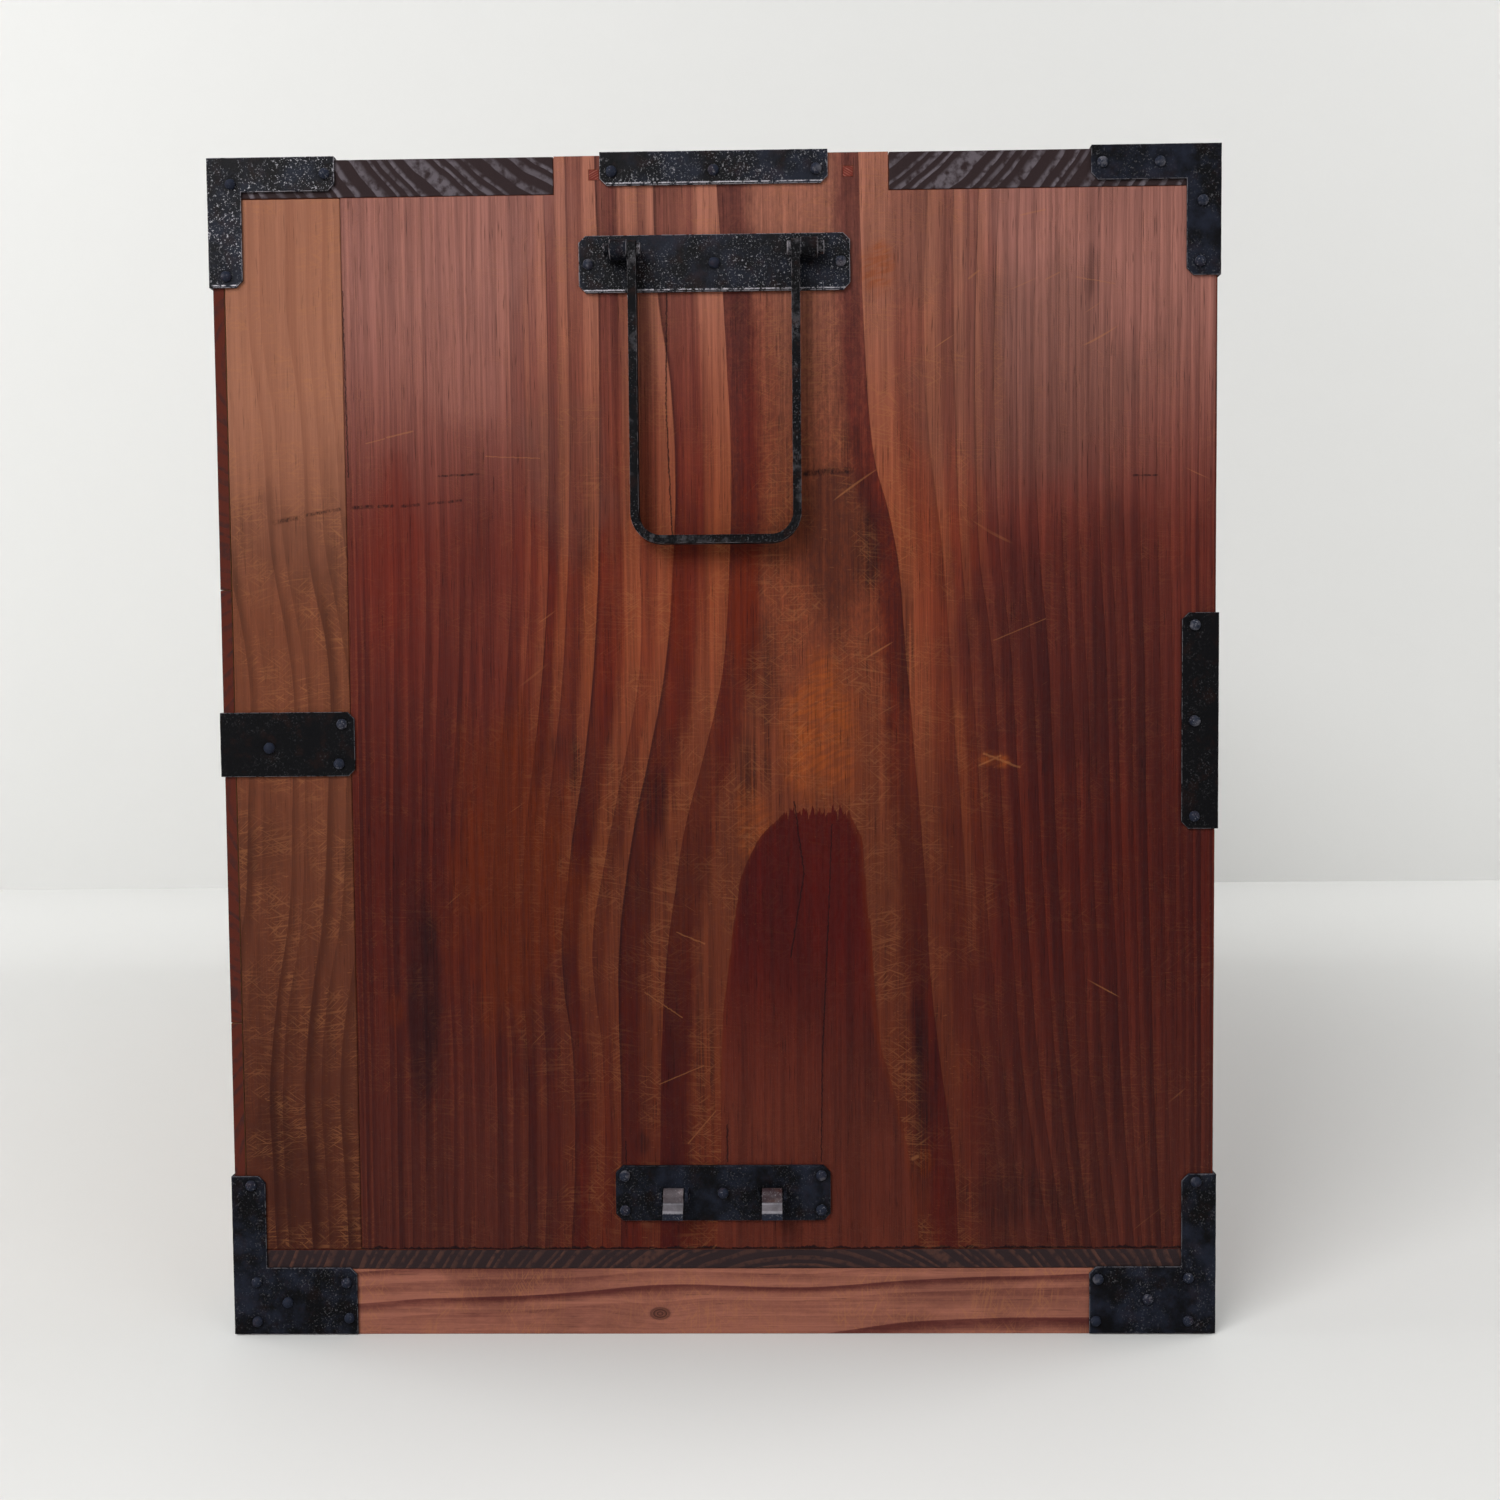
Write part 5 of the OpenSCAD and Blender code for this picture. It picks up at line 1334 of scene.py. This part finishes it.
class CHEST_OT_base_rails(ChestOperator, bpy.types.Operator):
    """Finish the four rails of the base"""

    bl_idname = "chest.base_rails"
    bl_label = "Base Rails"

    def execute(self, context):
        wood = context.scene.chest_wood
        ends = (wood.end_dark, wood.end_light)
        knot_y = (BACK - 0.185) / MM
        for side, word in ((-1, "left"), (1, "right")):
            skin = board_material(
                word + " base rail", "y", "z", wood.rail_light, wood.rail_dark, pith=(-8, side * 418),
                ring=4.6, taper=0.02, seed=11.0 + side, end=ends, rubbed=0.7, contrast=1.0,
                knots=(((9, knot_y), 6.0),) if side < 0 else (((17, -60.0), 5.0),),
            )
            finish_board("base_rail_" + word, skin, "red_side_wood", 11 + side, cell=7, wave=1.4)
        for side, word in ((-1, "front"), (1, "back")):
            skin = board_material(
                word + " base rail", "x", "z", wood.lacquer_light, wood.lacquer_dark,
                pith=(-12, side * 180), ring=6.0, taper=0.012, seed=14.0 + side, end=ends,
                coat=0.25 if side < 0 else 0.0,
            )
            finish_board("base_rail_" + word, skin, "lacquered_wood", 14 + side)
        return {"FINISHED"}


class CHEST_OT_pegs(ChestOperator, bpy.types.Operator):
    """Finish the square and round pegs"""

    bl_idname = "chest.pegs"
    bl_label = "Wooden Pegs"

    def execute(self, context):
        wood = context.scene.chest_wood
        skin = board_material(
            "pegs", "x", "y", wood.dark_top, wood.end_dark, pith=(0, 400), ring=0.9, seed=17.0,
            end=(wood.outer_high, wood.outer_top), relief=0.08,
        )
        finish_node("wooden_pegs", skin, "peg_wood", corner=0.25 * MM)
        return {"FINISHED"}


# The ironwork

class CHEST_OT_irons(ChestOperator, bpy.types.Operator):
    """Finish the corner irons, straps and plates"""

    bl_idname = "chest.irons"
    bl_label = "Irons and Plates"

    def execute(self, context):
        iron = context.scene.chest_iron
        nails = nail_places("iron_nails")
        easing = {"corner": iron.corner, "cell": 2.2 * MM, "sink": hammered(nails)}
        for node in ("top_back_irons", "top_straps", "left_handle_plate", "right_handle_plate"):
            # The pitted plates carry more blue-grey, partly painted sheen, and the top back irons more pale
            # specks, partly painted glints
            pitted = iron_material(
                node.replace("_", " "), bloom_and_sheen=0.7, flecks_and_glints=0.9 if "back" in node else 0.5, rust=0.12,
                bare=0.75, pits=0.3, shine=0.34, gloss=0.07, ledge=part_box(node)[0].z,
            )
            finish_node(node, pitted, "black_iron", **easing)
        smooth = iron_material("smooth iron", 7.0, bloom_and_sheen=0.75, flecks_and_glints=0.1, rust=0.06, bare=0.3, pits=0.07)
        black = iron_material("strap iron", 5.0, bloom_and_sheen=0.0, flecks_and_glints=0.06, rust=0.1, bare=0.3, pits=0.12)
        for node in (
            "top_front_irons", "bottom_front_irons", "bottom_back_irons", "left_catch_plate",
            "right_catch_plate",
        ):
            finish_node(node, smooth, "black_iron", **easing)
        for node in ("front_edge_straps", "back_edge_straps"):
            finish_node(node, black, "black_iron", **easing)
        return {"FINISHED"}


class CHEST_OT_nails(ChestOperator, bpy.types.Operator):
    """Forge the heads of the case's nails"""

    bl_idname = "chest.nails"
    bl_label = "Nail Heads"

    def execute(self, context):
        iron = context.scene.chest_iron
        # Heads wholly blue-grey: partly oxide film, partly painted sheen
        skin = iron_material("nail iron", 3.0, bloom_and_sheen=1.0, flecks_and_glints=0.3, rust=0.2, bare=0.5, pits=0.1,
                             body=iron.slate, bared=0.2)
        forge_heads("iron_nails", nail_places("iron_nails"), skin, random.Random(3))
        return {"FINISHED"}


class CHEST_OT_bails(ChestOperator, bpy.types.Operator):
    """Forge the lifting bails, their eyes and all the hinge pins"""

    bl_idname = "chest.bails"
    bl_label = "Bails and Eyes"

    def execute(self, context):
        bar = iron_material("bail iron", 5.0, bloom_and_sheen=0.0, flecks_and_glints=0.15, rust=0.15, bare=0.9, pits=0.14,
                            shine=0.42, bared=0.1)
        eye = iron_material("eye iron", 6.0, bloom_and_sheen=0.4, flecks_and_glints=0.15, rust=0.1, bare=0.4, pits=0.1)
        worn = iron_material("worn iron", 8.0, bloom_and_sheen=0.5, flecks_and_glints=0.3, rust=0.6, bare=0.7, pits=0.12,
                             bared=0.3)
        sink = hammered(())
        for node in ("left_bail", "right_bail"):
            finish_node(node, bar, "black_iron", corner=0.8 * MM, shortest=1 * MM, cell=3 * MM, sink=sink,
                        segments=3)
        finish_node("handle_eyes", eye, "black_iron", corner=0.4 * MM, shortest=0.5 * MM)
        finish_node("hinge_pins", worn, "worn_iron", corner=0.3 * MM, shortest=0.3 * MM)
        return {"FINISHED"}


def catch_material():
    """A rusty rolled eye over a bright band at the bend, partly bared metal and partly a painted highlight,
    and a darker lip.
    """
    iron = bpy.context.scene.chest_iron
    low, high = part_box("left_rear_catch")
    material, sheet, shader = start_material("catch iron")
    point = sheet.add("TexCoord", output="Object")
    skin = sheet.use("Iron skin", Point=point, Seed=9.0)
    rise = (sheet.split(point)[2] - low.z) / (high.z - low.z)
    rise = rise + (skin["Pit"] - 0.5) * 0.06
    # The band at the bend: partly bared metal, partly a painted highlight
    step = sheet.step(rise, 0.22, 0.28) * sheet.step(rise, 0.5, 0.58, 1.0, 0.0)
    eye = sheet.step(rise, 0.5, 0.6)
    # Blue-grey clouds on the black: partly oxide film, partly painted sheen
    base = sheet.mix(skin["Cloud"] * 0.5, iron.slate, iron.oxide)
    rust = sheet.mix(skin["Cloud"], iron.rust, iron.bright)
    base = sheet.mix(eye * sheet.between(skin["Rust"], 0.5, 0.9), base, sheet.mix(0.35, iron.rust, rust))
    # Bright iron on the band: partly bared metal, partly a painted highlight
    base = sheet.mix(step * sheet.between(skin["Cloud"], 0.9, 0.5), base, iron.bright)
    # Pale specks: partly pale dust in the pits, partly painted glints
    base = sheet.mix(skin["Fleck"] * 0.2, base, iron.fleck)
    rubbed = sheet.mark("edge") * skin["Chip"] * 0.5
    base = sheet.mix(rubbed, base, iron.bright)
    rough = 0.45 + skin["Pit"] * 0.15 - step * 0.14
    finish_material(
        sheet, shader, base, rough, skin["Pit"], 0.08 * MM, step * 0.6, Specular_IOR_Level=0.08
    )
    return material


class CHEST_OT_catches(ChestOperator, bpy.types.Operator):
    """Forge the four catches"""

    bl_idname = "chest.catches"
    bl_label = "Catches"

    def execute(self, context):
        skin = catch_material()
        for side in ("left", "right"):
            for end in ("rear", "front"):
                finish_node(f"{side}_{end}_catch", skin, "worn_iron", corner=0.3 * MM, shortest=1 * MM)
        return {"FINISHED"}


# The drawers

class CHEST_OT_drawers(ChestOperator, bpy.types.Operator):
    """Finish the boards of the two drawers"""

    bl_idname = "chest.drawers"
    bl_label = "Drawer Boards"

    def execute(self, context):
        wood = context.scene.chest_wood
        for k, floor in enumerate(("upper", "lower")):
            front = board_material(
                floor + " drawer front", "x", "z", wood.lacquer_light, wood.lacquer_dark,
                pith=(330 - 190 * k, -118), ring=5.0, taper=0.035, seed=20.0 + k, contrast=1.0,
                aged=0.3, rubbed=0.25, shine=0.4, gloss=0.08, coat=0.12, relief=0.1,
            )
            finish_board(floor + "_drawer_front", front, "lacquered_wood", 20 + k, cell=14, wave=0.6)
            for part, along, across, pith in (
                ("left_side", "y", "z", (240, -470)), ("right_side", "y", "z", (240, 470)),
                ("back", "x", "z", (150, 260)), ("bottom", "x", "y", (10, -60)),
            ):
                node = f"{floor}_drawer_{part}"
                skin = board_material(
                    node.replace("_", " "), along, across, wood.bare_light, wood.bare_dark, pith=pith,
                    ring=4.5, taper=0.01, seed=24.0 + k, relief=0.1, gloss=0.05, shine=0.6, aged=0.2,
                )
                finish_board(node, skin, "bare_wood", corner=0.7)
        return {"FINISHED"}


class CHEST_OT_locks(ChestOperator, bpy.types.Operator):
    """Finish the lock plates, cases and bolts, and the drawers' nails"""

    bl_idname = "chest.locks"
    bl_label = "Locks"

    def execute(self, context):
        iron = context.scene.chest_iron
        plate = iron_material("lock plate iron", 2.0, bloom_and_sheen=0.5, flecks_and_glints=0.2, rust=0.12, bare=0.5, pits=0.09)
        inside = iron_material("lock case iron", 4.0, bloom_and_sheen=0.9, flecks_and_glints=0.2, rust=0.35, bare=0.5, bared=0.3)
        rng = random.Random(8)
        for floor in ("upper", "lower"):
            nails = nail_places(floor + "_drawer_nails")
            forge_heads(floor + "_drawer_nails", nails, plate, rng)
            finish_node(floor + "_lock_plate", plate, "black_iron", corner=iron.corner, cell=3 * MM,
                        sink=hammered(nails))
            finish_node(floor + "_lock_case", inside, "worn_iron", corner=0.3 * MM)
            finish_node(floor + "_lock_bolt", inside, "worn_iron", corner=0.4 * MM)
        return {"FINISHED"}


class CHEST_OT_pulls(ChestOperator, bpy.types.Operator):
    """Forge the drawer pulls and their posts"""

    bl_idname = "chest.pulls"
    bl_label = "Drawer Pulls"

    def execute(self, context):
        bar = iron_material("pull iron", 1.0, bloom_and_sheen=0.5, flecks_and_glints=0.3, rust=0.2, bare=0.7, pits=0.1, bared=0.15)
        sink = hammered(())
        for floor in ("upper", "lower"):
            finish_node(floor + "_pull_posts", bar, "black_iron", corner=0.4 * MM, shortest=0.5 * MM)
            for side in ("left", "right"):
                finish_node(f"{floor}_{side}_pull", bar, "black_iron", corner=0.9 * MM, shortest=1 * MM,
                            cell=4 * MM, sink=sink, segments=3)
        return {"FINISHED"}


class CHEST_PT_panel(bpy.types.Panel):
    """The chest's sizes and colours, and a button for each of its groups of pieces"""

    bl_idname = "CHEST_PT_panel"
    bl_label = "Kimono Chest"
    bl_space_type = "VIEW_3D"
    bl_region_type = "UI"
    bl_category = "Chest"

    def draw(self, context):
        for operator in OPERATORS:
            self.layout.operator(operator.bl_idname)
        for group in SETTINGS:
            box = self.layout.box()
            for name in SETTINGS[group].__annotations__:
                box.prop(getattr(context.scene, group), name)


SETTINGS = {"chest_wood": CHEST_PG_wood, "chest_iron": CHEST_PG_iron, "chest_stage": CHEST_PG_stage}
OPERATORS = (
    CHEST_OT_stage, CHEST_OT_side_boards, CHEST_OT_case_boards, CHEST_OT_base_rails, CHEST_OT_pegs,
    CHEST_OT_irons, CHEST_OT_nails, CHEST_OT_bails, CHEST_OT_catches, CHEST_OT_drawers,
    CHEST_OT_locks, CHEST_OT_pulls,
)
EFFECTS = (fibre_group, rings_group, scratches_group, stroke_group, iron_group, figure_group)


def register():
    for name, group in SETTINGS.items():
        bpy.utils.register_class(group)
        setattr(bpy.types.Scene, name, PointerProperty(type=group))
    for one in OPERATORS + (CHEST_PT_panel,):
        bpy.utils.register_class(one)


def unregister():
    for one in reversed(OPERATORS + (CHEST_PT_panel,)):
        bpy.utils.unregister_class(one)
    for name, group in SETTINGS.items():
        delattr(bpy.types.Scene, name)
        bpy.utils.unregister_class(group)


def main():
    """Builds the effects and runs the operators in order."""
    register()
    for effect in EFFECTS:
        effect()
    for operator in OPERATORS:
        group, name = operator.bl_idname.split(".")
        getattr(getattr(bpy.ops, group), name)()
    boxes = {"cad": cad_box, "visual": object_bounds()}
    {name: [list(corner) for corner in box] for name, box in boxes.items()}


if __name__ == "__main__":
    main()
